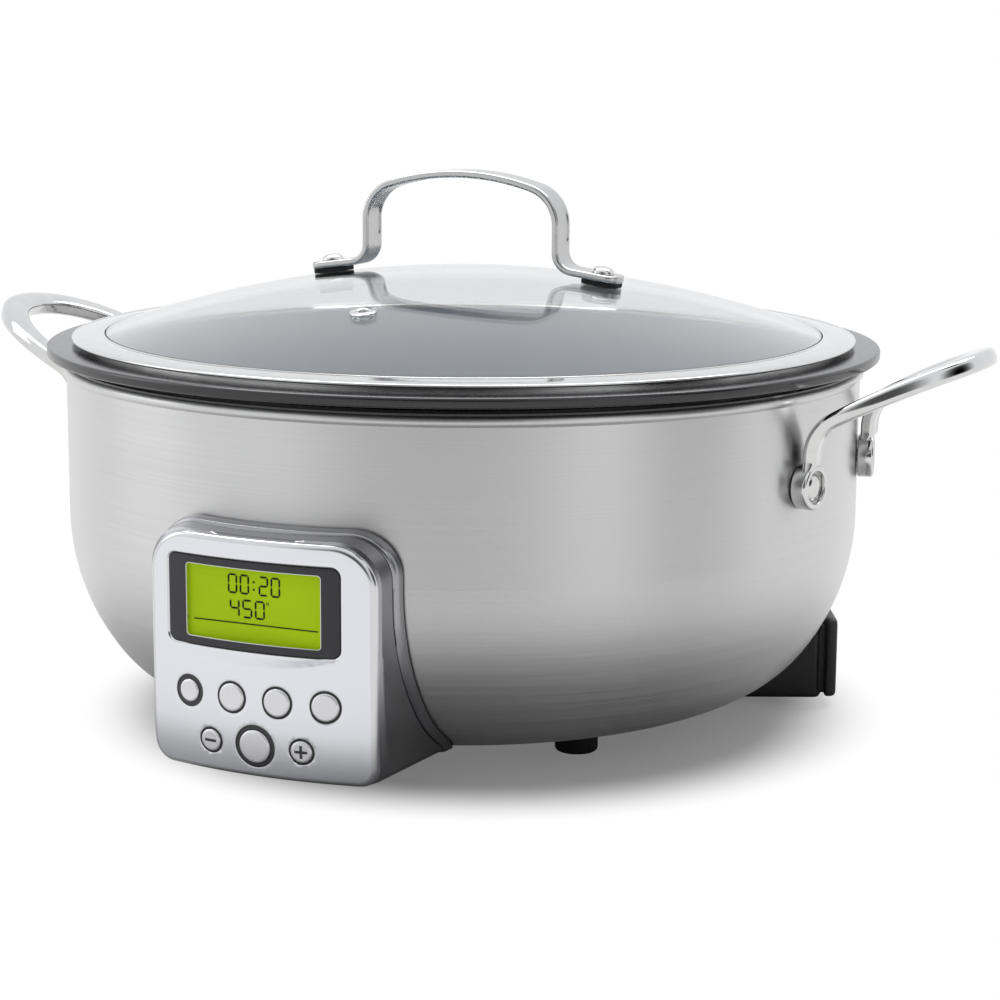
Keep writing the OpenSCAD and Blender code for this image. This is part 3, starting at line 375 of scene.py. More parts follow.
# Each button's middle in X and Z, the outer radius of its collar and the collar's width
buttons = {"button_sear": (-28.65, 43.9, 6.0, 1.6), "button_menu": (-9.55, 43.9, 6.0, 0.6),
           "button_time": (9.55, 43.9, 6.0, 0.6), "button_temp": (28.65, 43.9, 6.0, 0.6),
           "button_minus": (-19.1, 26.1, 4.9, 0.6), "button_start": (0.0, 26.1, 8.1, 1.6),
           "button_plus": (19.1, 26.1, 4.9, 0.6)}


def round_outline(half_w, low, high, r_top, r_low, inset=0.0, edge=24, corner=14):
    """A loop of (x, z) round a rectangle with round corners, moved inwards; its count of points stays."""
    w, b, t = half_w - inset, low + inset, high - inset
    rt, rl = max(r_top - inset, 0.05), max(r_low - inset, 0.05)
    line = lambda p, q: np.linspace(p, q, edge, endpoint=False)[1:]
    return np.concatenate([
        line((w, b + rl), (w, t - rt)), arc_points(w - rt, t - rt, rt, 0, 90, corner),
        line((w - rt, t), (rt - w, t)), arc_points(rt - w, t - rt, rt, 90, 180, corner),
        line((-w, t - rt), (-w, b + rl)), arc_points(rl - w, b + rl, rl, 180, 270, corner),
        line((rl - w, b), (w - rl, b)), arc_points(w - rl, b + rl, rl, 270, 360, corner)])


def panel_loop(inset=0.0, half=panel_half):
    """The outline of the box's face."""
    return round_outline(half, panel_low, panel_high, round_top, round_low, inset)


def window_loop(inset):
    """The outline of the opening for the display."""
    return round_outline(window_half, window_low, window_high, window_r, window_r, inset) + (window_x, 0)


def on_face(flat, depth=0.0):
    """Lays (x, z) on the curved face: y runs back to the cylinder of the face's radius less the depth.

    Towards its foot the face tucks back by a power of the distance, up to the tuck's depth.
    """
    x, z = flat[..., 0], flat[..., 1]
    tuck = tuck_depth * np.clip((tuck_top - z) / (tuck_top - panel_low), 0, 1) ** 2.2
    return np.stack([x, -np.sqrt((face_r - depth - tuck) ** 2 - x ** 2), z], -1)


def face_rows(loop, steps):
    """One row on the face for each step: the loop of the step's size, at the step's depth."""
    return [on_face(loop(size), depth) for size, depth in steps]


def bowl_radius(z):
    """Radius of the bowl's skin at a height, from its two arcs and its straight side."""
    low = heel[0] + np.sqrt(np.clip(heel[2] ** 2 - (heel[1] - z) ** 2, 0, None))
    high = haunch[0] + np.sqrt(np.clip(haunch[2] ** 2 - np.clip(haunch[1] - z, 0, None) ** 2, 0, None))
    return np.where(z < haunch[1] - haunch[2] * np.sin(np.radians(split)), low, high)


def circle_flat(x, z, radius, count=64):
    """A loop of (x, z) round a point of the face."""
    a = np.linspace(0, 2 * np.pi, count, endpoint=False)
    return np.stack([x + radius * np.cos(a), z + radius * np.sin(a)], -1)


def scoop(flat):
    """Depth of the hollow under the window: full at the frame, none past a sagging curve or at its ends."""
    x, z = flat[..., 0] - window_x, flat[..., 1]
    ends = np.clip(1 - (x / hollow_half) ** 2, 0, None)
    sag = frame_low - hollow_sag * ends ** 0.8
    inside = np.clip((z - sag) / np.clip(frame_low - sag, 0.3, None), 0, 1.0)
    return np.where(z < 63.5, hollow_depth * inside ** 0.7 * np.clip(3 * ends, 0, 1), 0.0)


def rect_depth(flat, half_w, low, high, radius):
    """How far points lie outside a rectangle with round corners; negative inside."""
    q = np.abs(flat - (0, (low + high) / 2)) - (half_w - radius, (high - low) / 2 - radius)
    return np.linalg.norm(np.clip(q, 0, None), axis=-1) + np.clip(q.max(-1), None, 0) - radius


def on_sheet(flat, gap):
    """True for points of the face at least a gap away from its rim, window and button holes."""
    outside = np.where(flat[:, 1] > 58, rect_depth(flat, panel_half, panel_low, panel_high, round_top),
                       rect_depth(flat, panel_half, panel_low, panel_high, round_low))
    from_window = rect_depth(flat - (window_x, 0), window_half, window_low, window_high, window_r)
    keep = (outside < -rim_roll - gap) & (from_window > window_gap + gap)
    for x, z, r, w in buttons.values():
        keep &= np.hypot(flat[:, 0] - x, flat[:, 1] - z) > r + hole_gap + gap
    return keep


# The face as triangles between its rim, the window and the button holes
window = window_loop(-window_gap)
loops = [panel_loop(rim_roll), window] + [circle_flat(x, z, r + hole_gap) for x, z, r, w in buttons.values()]
gx, gz = np.meshgrid(np.arange(-47, 47.1, 1.1), np.arange(14, 104.1, 1.0))
gx = gx + 0.55 * (np.arange(len(gx)) % 2)[:, None]
inner = np.stack([gx.ravel(), gz.ravel()], -1)
flat = np.concatenate(loops + [inner[on_sheet(inner, 0.5)]])
first = np.cumsum([0] + [len(loop) for loop in loops])
edges = np.concatenate([np.stack([np.arange(n), np.roll(np.arange(n), -1)], 1) + s
                        for s, n in zip(first, map(len, loops))])
verts, _, triangles, *_ = geometry.delaunay_2d_cdt(flat.tolist(), edges.tolist(), [], 1, 1e-6)
flat, triangles = np.array(verts), np.array(triangles)
face_sheet = (on_face(flat, scoop(flat)), triangles[on_sheet(flat[triangles].mean(1), -0.02)], 0)

# Rolled rim, flank and collar as rows of the same outline, each further back along the box
bend = np.radians(np.linspace(0, 90, 9))
rim_rows = face_rows(panel_loop, [(rim_roll * (1 - np.sin(a)), rim_roll * (1 - np.cos(a))) for a in bend])
slim, wide = panel_loop(), panel_loop(half=panel_half + 1)
back_run, flare, rise = box_front - heel[0], 6.5, 10.0
spread = (wide - slim)[:, 0] * flare / back_run
share = (slim[:, 1] - panel_low - round_low) / (panel_high - panel_low - round_top - round_low)
lift = np.clip(share, 0, 1) * rise / back_run
y_front = rim_rows[-1][:, 1]
y_end = y_front
for _ in range(6):
    skin_r = bowl_radius(slim[:, 1] + lift * (box_front + y_end)) + gasket_t
    y_end = -np.sqrt(skin_r ** 2 - (slim[:, 0] + spread * (box_front + y_end)) ** 2)
normal = (np.roll(slim, -1, 0) - np.roll(slim, 1, 0))[:, ::-1] * (1, -1)
normal /= np.linalg.norm(normal, axis=1)[:, None]
room = y_end - y_front
collar = np.minimum(7.0, room * 0.45)


def flank_row(back, out):
    """The outline at a distance back from the rim, moved outwards, with the flanks' widening."""
    y_row = y_front + back
    x = slim[:, 0] + spread * (box_front + y_row) + normal[:, 0] * out
    return np.stack([x, y_row, slim[:, 1] + lift * (box_front + y_row) + normal[:, 1] * out], -1)


flank = [flank_row(np.clip((room - collar) * t, 0, None), 0.0) for t in np.linspace(0.08, 1, 12)]
flank += [flank_row(room - collar + back, out)
          for back, out in ((0.25, -0.7), (0.8, -0.7), (1.05, 0.55), (1.5, 0.9))]
flank += [flank_row(room + back, out) for back, out in ((-0.5, 0.9), (-0.1, 0.6), (-0.1, -2.2))]
satin_silver = new_finish(
    "satin_silver", 1.0, 900, (0.22, 0.27), ((0.76, 0.768, 0.81), (0.78, 0.788, 0.83)), (0.015, 0.0001),
    Coat_Weight=0.25, Coat_Roughness=0.15)
polished_silver = new_finish(
    "polished_silver", 1.0, 60, (0.12, 0.16), ((0.64, 0.64, 0.655), (0.67, 0.67, 0.685)))
# The flanks carry the face's silver painted far darker: painted shade and painted reflection of the bowl
# beside them, not a finish of their own.
flank_silver_painted_shade = new_finish(
    "flank_silver_painted_shade", 1.0, 60, (0.18, 0.23), ((0.34, 0.34, 0.352), (0.36, 0.36, 0.372)), Coat_Weight=0.1,
    Coat_Roughness=0.15)
walls = [sheet(rim_rows, finish=1), sheet([rim_rows[-1]] + flank, finish=2)]
for x, z, r, w in buttons.values():
    hole_steps = ((r + hole_gap, 0.0), (r + 0.2, 0.1), (r + 0.08, 0.4), (r + 0.08, 2.5))
    walls.append(sheet(face_rows(lambda radius: circle_flat(x, z, radius), hole_steps), finish=1))
window_rows = [on_face(window, scoop(window))] + [
    on_face(window_loop(inset), depth + scoop(window) * 0.9)
    for inset, depth in ((-0.60, 0.06), (-0.12, 0.55), (0.05, 0.75), (0.05, 2.5))]
walls.append(sheet(window_rows, finish=1))
make_piece("control_box", [face_sheet] + walls, [satin_silver, polished_silver, flank_silver_painted_shade], "base",
           ["control_housing"])

gasket_rows = [flank_row(room + back, out)
               for back, out in ((-0.05, -0.2), (0.5, 0.0), (1.25, 0.0), (1.3, -2.0), (-0.05, -2.0))]
gasket_black = new_finish(
    "gasket_rubber", 0.0, 1200, (0.6, 0.8), ((0.015, 0.015, 0.016), (0.028, 0.028, 0.03)))
make_piece("panel_gasket", [sheet(gasket_rows, True)], [gasket_black], "base", ["control_gasket"])


# Display: a dark moulded frame let into the face, a clear curved window, and the lit panel behind it.
# The panel is yellow-green with plain dark figures, and the window is pressed into the frame.
lens_x, frame_back, frame_face, lens_back, lens_face = window_x + 0.5, 2.4, 0.47, 2.2, 1.1
frame_out = lambda inset: round_outline(frame_half, frame_low, frame_high, 3.2, 3.2, inset) + (window_x, 0)
frame_in = lambda inset: round_outline(28.1, 65.4, 92.6, 1.2, 1.2, inset) + (lens_x, 0)
frame_rows = face_rows(frame_in, [(0.06, frame_back)]) + face_rows(
    frame_out, ((0.0, frame_back), (0.0, 0.75), (0.12, 0.58), (0.5, 0.5), (1.2, frame_face)))
last = frame_out(1.2)
frame_rows += [on_face(last + (frame_in(-0.35) - last) * t, frame_face) for t in (0.25, 0.5, 0.75, 1.0)]
bright_rows = face_rows(frame_in, ((-0.35, frame_face), (-0.1, 0.52), (0.0, 0.8), (0.06, frame_back)))
bezel_charcoal = new_finish(
    "bezel_charcoal", 0.0, 700, (0.40, 0.45), ((0.050, 0.048, 0.060), (0.055, 0.053, 0.065)))
make_piece("display_frame", [sheet(frame_rows), sheet(bright_rows, finish=1)],
           [bezel_charcoal, polished_silver], "base", ["display_bezel"])

pane = lambda inset: round_outline(28.0, 65.5, 92.5, 1.1, 1.1, inset) + (lens_x, 0)
last, mid = pane(0.2), np.array((lens_x, 79.0))
shares = (0.8, 0.6, 0.4, 0.2, 0.0)
clear_rows = face_rows(pane, ((0.0, lens_back), (0.0, 1.3), (0.2, lens_face)))
clear_rows += face_rows(lambda t: mid + (last - mid) * t,
                        [(t, lens_face) for t in shares] + [(t, lens_back) for t in shares[::-1]])
clear_window = new_finish(
    "clear_window", 0.0, 60, (0.015, 0.03), (0.97, 1.0, 0.97), Transmission_Weight=1.0, IOR=1.1)
make_piece("display_window", [sheet(clear_rows, True)], [clear_window], "base", ["display_lens"])


def at_y(flat, y):
    """Stands (x, z) upright at y, which may differ from point to point."""
    return np.insert(flat, 1, y, axis=1)


def flat_slab(loop, front, back, finish):
    """A loop of (x, z) made a thin slab between two planes of y, with its middle closed."""
    mid = loop.mean(0)
    ring = [mid + (loop - mid) * t for t in (0.0, 0.5, 1.0)]
    return sheet([at_y(row, front) for row in ring] + [at_y(row, back) for row in ring[::-1]], finish=finish)


def block(x, z, half_x, half_z):
    """The corners of an upright rectangle about a point of (x, z)."""
    return np.array((x, z)) + np.array((half_x, half_z)) * [(-1, -1), (1, -1), (1, 1), (-1, 1)]


def bar_between(start, end, half):
    """One lit bar of a figure: a strip with pointed ends between two points of (x, z)."""
    along = (end - start) / np.linalg.norm(end - start)
    side = np.array((-along[1], along[0]))
    return np.array([start, start + (along + side) * half, end + (side - along) * half,
                     end, end - (along + side) * half, start + (along - side) * half])


def figure(digit, x, z, w, h):
    """The lit bars of one figure, in a box of this width and height from its lower left corner."""
    # Each bar's two ends, in widths and half heights
    ends = {"a": ((0, 2), (1, 2)), "b": ((1, 1), (1, 2)), "c": ((1, 0), (1, 1)), "d": ((0, 0), (1, 0)),
            "e": ((0, 0), (0, 1)), "f": ((0, 1), (0, 2)), "g": ((0, 1), (1, 1))}
    gap, half = 0.10, 0.40
    made = []
    for bar in {"0": "abcdef", "2": "abged", "4": "fgbc", "5": "afgcd"}[digit]:
        p, q = np.array((x, z)) + np.array(ends[bar]) * (w, h / 2)
        short = gap * (q - p) / np.linalg.norm(q - p)
        made.append(bar_between(p + short, q - short, half))
    return made


lcd_front, lcd_back, ink = -179.66, -172.6, 0.2
dark = [bar for digit, x in zip("0020", (-13.0, -8.0, 0.0, 5.0)) for bar in figure(digit, x, 82.6, 3.3, 6.8)]
dark += [bar for digit, x in zip("450", (-12.3, -7.0, -1.7)) for bar in figure(digit, x, 73.6, 3.5, 6.4)]
dark += [block(-2.4, 84.4, 0.42, 0.42), block(-2.4, 87.2, 0.42, 0.42), block(-1.9, 71.175, 26.1, 0.275)]
case = round_outline(30.0, 63.5, 94.5, 1.0, 1.0) + (lens_x, 0)
glow = round_outline(29.7, 63.8, 94.2, 0.8, 0.8) + (lens_x, 0)
slabs = [flat_slab(case, lcd_front + 0.25, lcd_back, 0),
         flat_slab(glow, lcd_front + 0.06, lcd_front + 1.0, 1)]
slabs += [flat_slab(loop, lcd_front, lcd_front + ink, 2) for loop in dark]
degree = [at_y(circle_flat(3.3, 79.5, r, 24), y)
          for r, y in ((0.32, lcd_front + ink), (0.32, lcd_front), (0.6, lcd_front), (0.6, lcd_front + ink))]
slabs.append(sheet(degree, True, finish=2))
lit_green = new_finish(
    "lit_panel", 0.0, 30, (0.45, 0.55), ((0.265, 0.36, 0.002), (0.295, 0.40, 0.002)), detail=1.0,
    Emission_Strength=0.4, Emission_Color=(0.31, 0.46, 0.0, 1), Specular_IOR_Level=0.1)
figure_dark = new_finish("figure_dark", 0.0, 900, (0.45, 0.6), (0.012, 0.022, 0.003), Specular_IOR_Level=0.1)
make_piece("display_panel", slabs, [moulded_black, lit_green, figure_dark], "base", ["lcd_module"])


# Buttons: seven moulded caps in charcoal collars, each on its own switch, pressed towards the bowl; on the
# five narrow collars the charcoal is painted shade for the gap round the cap.
# Two of the caps carry plain dark bars, a minus and a plus, that stand a little proud.
# Charcoal that is a real dark ring on the two wide collars and painted shade of the gap on the five narrow
# ones; it also colours the minus and plus bars.
collar_dark_with_gap_shade = new_finish(
    "collar_charcoal_with_gap_shade", 0.0, 1500, (0.25, 0.4), ((0.03, 0.029, 0.036), (0.042, 0.04, 0.05)), Coat_Weight=0.3,
    Coat_Roughness=0.15)
cap_silver = new_finish(
    "cap_silver", 1.0, 1800, (0.3, 0.4), ((0.74, 0.74, 0.755), (0.79, 0.79, 0.80)), (0.05, 0.0001))
cap_back, stop_back, stop_w = -178.9, -178.0, 1.2
bars = {"button_minus": [(2.5, 0.52)], "button_plus": [(2.5, 0.52), (0.52, 2.5)]}
collar_sheets = []
for name, (x, z, r, w) in buttons.items():
    hole = r - w
    loop = lambda radius: circle_flat(x, z, radius)
    collar_sheets.append(sheet(face_rows(loop, (
        (r, 2.3), (r, 0.35), (r - 0.12, 0.2), (hole + 0.22, 0.2), (hole + 0.09, 0.35),
        (hole + 0.09, 2.3))), True))
    rows = face_rows(loop, ((0.0, -0.52), (hole * 0.35, -0.525), (hole * 0.65, -0.56), (hole - 1.0, -0.6),
                            (hole - 0.55, -0.55), (hole - 0.22, -0.36), (hole - 0.06, -0.05),
                            (hole, 0.35), (hole, 2.2)))
    rows += [at_y(loop(radius), y) for radius, y in
             ((hole, cap_back), (hole + stop_w, cap_back), (hole + stop_w, stop_back), (0.0, stop_back))]
    cap = [sheet(rows)]
    for half_x, half_z in bars.get(name, ()):
        stroke = block(x, z, half_x, half_z)
        low, high = np.linspace(stroke[[0, 3]], stroke[[1, 2]], 12).transpose(1, 0, 2)
        edge_rows = [on_face(row, depth)
                     for row, depth in ((low, -0.4), (low, -0.63), (high, -0.63), (high, -0.4))]
        cap.append(sheet(edge_rows, True, False, 1))
    make_piece(name + "_cap", cap, [cap_silver, collar_dark_with_gap_shade], name, [name])
make_piece("button_collars", collar_sheets, [collar_dark_with_gap_shade], "base", ["button_rings"])


# Side handles: a forged bar bent into a loop, polished all over, with a round boss at the foot of each leg.
# Each boss stands on the bowl and is held by one rivet, whose domed head sits in the boss's recess.
def swept(middle, along, upper, half_w, half_t, sink, power=0.55, count=64):
    """A flattened round section carried along a path.

    Each row is the middle of the bar plus the sideways direction times a rounded cosine
    plus the upper direction times a rounded sine; sink(row, angle) lowers the surface.
    """
    a = np.linspace(0, 2 * np.pi, count, endpoint=False)
    soft = lambda c: np.sign(c) * np.abs(c) ** power
    sideways = np.cross(along, upper)
    depth = sink(np.arange(len(middle))[:, None], a[None])
    across = (half_w[:, None] * soft(np.cos(a)))[..., None] * sideways[:, None]
    raised = half_t[:, None] * soft(np.sin(a)) - depth * np.sign(np.sin(a))
    return middle[:, None] + across + raised[..., None] * upper[:, None]


def capped(rows):
    """Rows of a tube with each end closed to its own middle."""
    ends = [np.repeat(row.mean(0)[None], len(row), 0) for row in (rows[0], rows[-1])]
    return np.concatenate([ends[0][None], rows, ends[1][None]])


leg_x, leg_y, boss_z, leg_low, elbow_z, elbow_r = 167.75, 41.0, 113.5, 119.0, 126.0, 17.0
slope_low, slope_tip, arm_r = 29.0, 20.0, 317.5
leg_w, leg_t, tip_w, tip_t, groove_d = 9.6, 6.2, 2.8, 1.4, 0.55
leg_n, elbow_n, loop_n = 15, 14, 89
up = np.linspace(0, 1, leg_n)
dive = 1.5 * np.clip(1 - up / 0.8, 0, 1) ** 1.5
leg_mid = np.stack([leg_x - dive, np.full(leg_n, -leg_y), leg_low + (elbow_z - leg_low) * up], 1)
a = np.radians(90 - (90 - slope_low) * np.linspace(0, 1, elbow_n + 1)[1:])
elbow_mid = np.stack([leg_x + elbow_r * (1 - np.sin(a)), np.full(elbow_n, -leg_y),
                      elbow_z + elbow_r * np.cos(a)], 1)
b = np.radians(np.linspace(-90, 90, loop_n + 2)[1:-1])
s = np.radians(slope_low + (slope_tip - slope_low) * np.cos(b))
low = np.radians(slope_low)
loop_mid = np.stack([elbow_mid[-1, 0] + arm_r * (np.sin(low) - np.sin(s)), leg_y * np.sin(b),
                     elbow_mid[-1, 2] + arm_r * (np.cos(s) - np.cos(low))], 1)
arm_l = arm_r * np.radians(slope_low - slope_tip)
loop_along = np.stack([-arm_l * np.sin(b) * np.cos(s), leg_y * np.cos(b), -arm_l * np.sin(b) * np.sin(s)], 1)
loop_along /= np.linalg.norm(loop_along, axis=1)[:, None]
turning = np.concatenate([np.full(leg_n, np.pi / 2), a])
half_mid = np.concatenate([leg_mid, elbow_mid])
half_along = np.stack([np.cos(turning), 0 * turning, np.sin(turning)], 1)
half_upper = np.stack([-np.sin(turning), 0 * turning, np.cos(turning)], 1)
bar_mid = np.concatenate([half_mid, loop_mid, half_mid[::-1] * (1, -1, 1)])
bar_along = np.concatenate([half_along, loop_along, -half_along[::-1]])
bar_upper = np.concatenate([half_upper, np.stack([-np.sin(s), 0 * s, np.cos(s)], 1), half_upper[::-1]])
neck = np.concatenate([np.clip(1 - up / 0.75, 0, 1) ** 1.6 * 1.6, np.zeros(elbow_n)])
growth = np.concatenate([np.zeros(leg_n + elbow_n), np.cos(b), np.zeros(leg_n + elbow_n)])
bar_w = (leg_w + tip_w * growth) / 2 + np.concatenate([neck, np.zeros(loop_n), neck[::-1]])
bar_t = (leg_t + tip_t * growth) / 2 - np.concatenate([dive, np.zeros(loop_n + 2 * elbow_n), dive[::-1]])
groove_rows = np.zeros(len(bar_mid))
fade = np.minimum(np.arange(20), np.arange(20)[::-1]) / 2.0
groove_rows[7:27] = groove_rows[-27:-7] = np.minimum(1, fade)
groove = lambda row, angle: groove_d * groove_rows[row] * np.clip((-np.sin(angle) - 0.80) / 0.08, 0, 1)
bar = capped(swept(bar_mid, bar_along, bar_upper, bar_w, bar_t, groove))


def dome_line(radius, height, base):
    """The side of a domed head: the radius times a power of the cosine, the height times the sine."""
    a = np.radians(np.linspace(0, 90, 12))
    return np.stack([radius * np.cos(a) ** 0.75, base + height * np.sin(a)], 1)


def spun(points, angle, mirrored):
    """Turns points about Z by an angle, then mirrors X where the sign is negative."""
    x, y, z = points.T
    return np.stack([(x * np.cos(angle) - y * np.sin(angle)) * mirrored,
                     x * np.sin(angle) + y * np.cos(angle), z], 1)


boss_turn, boss_t, boss_r, recess_r = np.radians(13.735), 7.08, 9.0, 6.5
recess_z, rivet_r, shank_r = boss_t - 2.4, 5.3, 2.5
boss_line = np.concatenate([
    [(0, 0.25), (boss_r - 0.6, 0.25), (boss_r, 0.8)], arc_points(boss_r - 1.5, boss_t - 1.5, 1.5, 0, 80, 8),
    [(recess_r + 0.35, boss_t - 0.05)], arc_points(recess_r + 0.4, boss_t - 0.45, 0.4, 100, 180, 4),
    [(recess_r, recess_z), (0, recess_z)]])
rivet_line = np.concatenate([
    [(0, -3.4), (5.0, -3.4), (5.0, -1.8), (shank_r, -1.8), (shank_r, recess_z), (rivet_r, recess_z)],
    dome_line(rivet_r, 2.0, recess_z + 0.02)])


def at_boss(made, end, mirrored):
    """Stands a turned shape on the bowl at a boss: its axis points outwards, then it turns about Z."""
    points, quads, finish = made
    out = np.stack([bowl_r + points[:, 2], points[:, 1], boss_z - points[:, 0]], 1)
    return spun(out, end * boss_turn, mirrored), quads, finish


polished_steel = new_finish(
    "polished_steel", 1.0, 160, (0.06, 0.13), ((0.63, 0.63, 0.625), (0.69, 0.69, 0.685)), (0.02, 0.0003))
for name, mirrored in (("handle_left", -1.0), ("handle_right", 1.0)):
    points, quads, finish = sheet(bar)
    pieces = [(points * (mirrored, 1, 1), quads, finish)]
    pieces += [at_boss(turned(boss_line, 72, closed=False), end, mirrored) for end in (-1, 1)]
    make_piece(name + "_bar", pieces, [polished_steel], "base", [name], crease=50)
rivets = [at_boss(turned(rivet_line, 56, closed=False), end, mirrored)
          for end in (-1, 1) for mirrored in (-1.0, 1.0)]
make_piece("handle_rivet_heads", rivets, [polished_steel], "base", ["handle_rivets"],
           crease=50)


# Cord cleats: two black mouldings under the bowl's curve, towards the rear, with a plate across each end.
# The cord winds round the necks behind the plates, and the wedges carry the bowl's edge on a raised rim.
def bowl_height(radius):
    """Height of the bowl's skin at a radius, from its bottom and its two arcs."""
    x1 = haunch[0] + haunch[2] * np.cos(np.radians(split))
    on_heel = heel[1] - np.sqrt(np.clip(heel[2] ** 2 - np.clip(radius - heel[0], 0, None) ** 2, 0, None))
    on_haunch = haunch[1] - np.sqrt(np.clip(haunch[2] ** 2 - (radius - haunch[0]) ** 2, 0, None))
    return np.where(radius < x1, on_heel, on_haunch)


def at_z(flat, z):
    """Lays (x, y) level at z, which may differ from point to point."""
    return np.insert(flat, 2, z, axis=1)


def cleat_sheets():
    """Wedge, neck and end plate along X: loops of one outline, each at its own height or depth."""
    plan = lambda inset: round_outline(12.0, 106.9, 156.0, 4.0, 3.0, inset, edge=40)[:, ::-1]
    roof = lambda flat: np.minimum(bowl_height(np.hypot(flat[:, 0], flat[:, 1])) - 0.3, 36.0)
    foot, foot_z = plan(0), 5.4
    wedge = [at_z(plan(inset), z)
             for inset, z in ((11, 3.0), (2.0, 3.0), (0.9, 3.3), (0.2, 4.2), (0.0, foot_z))]
    wedge += [at_z(foot, foot_z + (np.maximum(roof(foot) - 1.2, 5.5) - foot_z) * t) for t in (0.5, 1.0)]
    wedge += [at_z(plan(inset), np.maximum(roof(plan(inset)) - drop, 5.6)) for inset, drop in
              ((0.25, 0.5), (0.9, 0.0), (2.4, 0.0), (2.7, 0.9), (5.0, 0.9), (8.0, 0.9), (11.0, 0.9))]
    neck = [np.insert(round_outline(11, 5.0, 34.6, 2.0, 2.0), 0, x, axis=1) for x in (152.0, 155.0, 158.0)]
    plate = [np.insert(round_outline(15, 4.0, 39.0, 3.5, 3.5, inset), 0, x, axis=1) for inset, x in
             ((2.6, 157.0), (0.9, 157.1), (0.2, 157.6), (0.0, 158.3), (0.0, 160.0), (0.4, 161.1),
              (1.2, 161.8), (2.6, 162.0), (7.0, 162.0))]
    return [sheet(capped(rows)) for rows in (wedge, neck, plate)]


cleat_turn = np.radians(24.0)
for name, mirrored in (("cord_cleat_left", -1.0), ("cord_cleat_right", 1.0)):
    pieces = [(spun(points, cleat_turn, mirrored), quads, finish) for points, quads, finish in cleat_sheets()]
    make_piece(name + "_moulding", pieces, [moulded_black], "base", [name], crease=42)


# Mains inlet: a black box moulded against the back of the bowl, with a socket let into it.
# Three flat nickel blades stand in the socket and take the plug of a loose cord.
inlet_mid, inlet_back, port_half_w, port_half_h, port_r = 31.0, 185.6, 12.2, 8.2, 3.0
box = lambda inset: round_outline(23.0, 14.0, 48.0, 4.0, 4.0, inset)
port = lambda grow: round_outline(port_half_w + grow, inlet_mid - port_half_h - grow,
                                  inlet_mid + port_half_h + grow, port_r + grow, port_r + grow)
seat = lambda loop: np.sqrt((bowl_radius(loop[:, 1]) + 0.4) ** 2 - loop[:, 0] ** 2)
rows = [at_y(box(inset), seat(box(inset))) for inset in (3.0, 0)]
rows += [at_y(box(0), seat(box(0)) + (inlet_back - 1.6 - seat(box(0))) * t) for t in (0.25, 0.5, 0.75, 1.0)]
rows += [at_y(box(inset), inlet_back - deep) for inset, deep in ((0.25, 0.7), (0.8, 0.15), (1.6, 0.0))]
rows += [at_y(port(grow), inlet_back - deep) for grow, deep in
         ((2.6, 0.0), (2.2, 0.2), (1.95, 0.8), (1.95, 21.6), (-6.0, 21.9))]
make_piece("inlet_box", [sheet(rows)], [moulded_black], "base", ["inlet_housing"])
rows = [at_y(port(grow), inlet_back - deep) for grow, deep in
        ((1.8, 21.5), (1.8, 0.5), (1.5, 0.2), (0.5, 0.2), (0.1, 0.6), (0.0, 1.4), (0.0, 20.0), (-6.0, 20.0))]
socket_black = new_finish(
    "socket_black", 0.0, 1300, (0.32, 0.5), ((0.024, 0.024, 0.026), (0.038, 0.038, 0.041)), (0.08, 0.0002))
make_piece("inlet_socket", [sheet(capped(rows))], [socket_black], "base", ["power_inlet"])
nickel = new_finish("nickel_blades", 1.0, 400, (0.18, 0.32), ((0.62, 0.58, 0.50), (0.70, 0.66, 0.58)))
dress(nickel, "inlet_pins")


# Pan: one drawn aluminium pot with a broad flange that rests on the bowl's lip and lifts out.
# Outside and flange are enamelled charcoal; the inside has a smooth blue-grey ceramic coat.
charcoal = new_finish(
    "charcoal_enamel", 0.0, 700, (0.17, 0.23), ((0.016, 0.0155, 0.02), (0.02, 0.0195, 0.024)), (0.02, 0.0001),
    IOR=1.6)
ceramic_grey = new_finish(
    "ceramic_coat", 0.12, 2200, (0.38, 0.43), ((0.36, 0.40, 0.46), (0.38, 0.42, 0.48)), (0.03, 0.0001),
    Coat_Weight=0.15, Coat_Roughness=0.3)
pan_low, pan_floor, pan_rim, flange_low, flange_r = 52.0, 55.5, 158.0, 153.8, 176.0
pan_out, pan_in, mouth_r = 156.0, 153.0, 1.6
outside = np.concatenate([
    [(0, pan_low), (60, pan_low)], cup_line(pan_out, 45.0, pan_low, flange_low - 1.0),
    arc_points(pan_out + 1.0, flange_low - 1.0, 1.0, 180, 90, 5),
    [(flange_r - 1.2, flange_low)], arc_points(flange_r - 1.2, flange_low + 1.2, 1.2, -90, 0, 7),
    arc_points(flange_r - 1.3, pan_rim - 1.3, 1.3, 0, 90, 8),
    [(165.0, pan_rim), (pan_in + mouth_r, pan_rim)]])
inside = np.concatenate([
    arc_points(pan_in + mouth_r, pan_rim - mouth_r, mouth_r, 90, 180, 8), [(pan_in, 130.0)],
    cup_line(pan_in, 42.0, pan_floor, 97.5)[-2::-1], [(80, pan_floor), (0, pan_floor)]])
make_piece("pan_pot", [turned(outside, 320, closed=False), turned(inside, 320, closed=False, finish=1)],
           [charcoal, ceramic_grey], "pan", ["cooking_pan"], crease=50)


# Lid: a shallow dome of 4 mm tempered glass in a pressed steel ring that sits on the flange.
# A small steel eyelet near the front lets the steam out.
ring_low = [(148.5, 156.6), (152.6, 156.6), (152.6, 159.9), (154.2, 159.9), (154.2, 158.0), (157.2, 158.0),
            (157.2, 159.9), (165.0, 159.9)]
ring_top = [(164.3, 161.22), (164.1, 161.12), (163.8, 161.24), (160.0, 161.6), (156.0, 161.95),
            (153.5, 162.18), (153.2, 162.05), (152.95, 162.2), (152.5, 162.3), (152.0, 162.25),
            (151.8, 161.9), (151.8, 157.6), (148.5, 157.6)]
rim_line = np.concatenate([ring_low, arc_points(165.0, 160.6, 0.7, -70, 80, 7), ring_top])
make_piece("lid_ring", [turned(rim_line, 320)], [polished_steel], "lid", ["lid_rim"],
           crease=45)

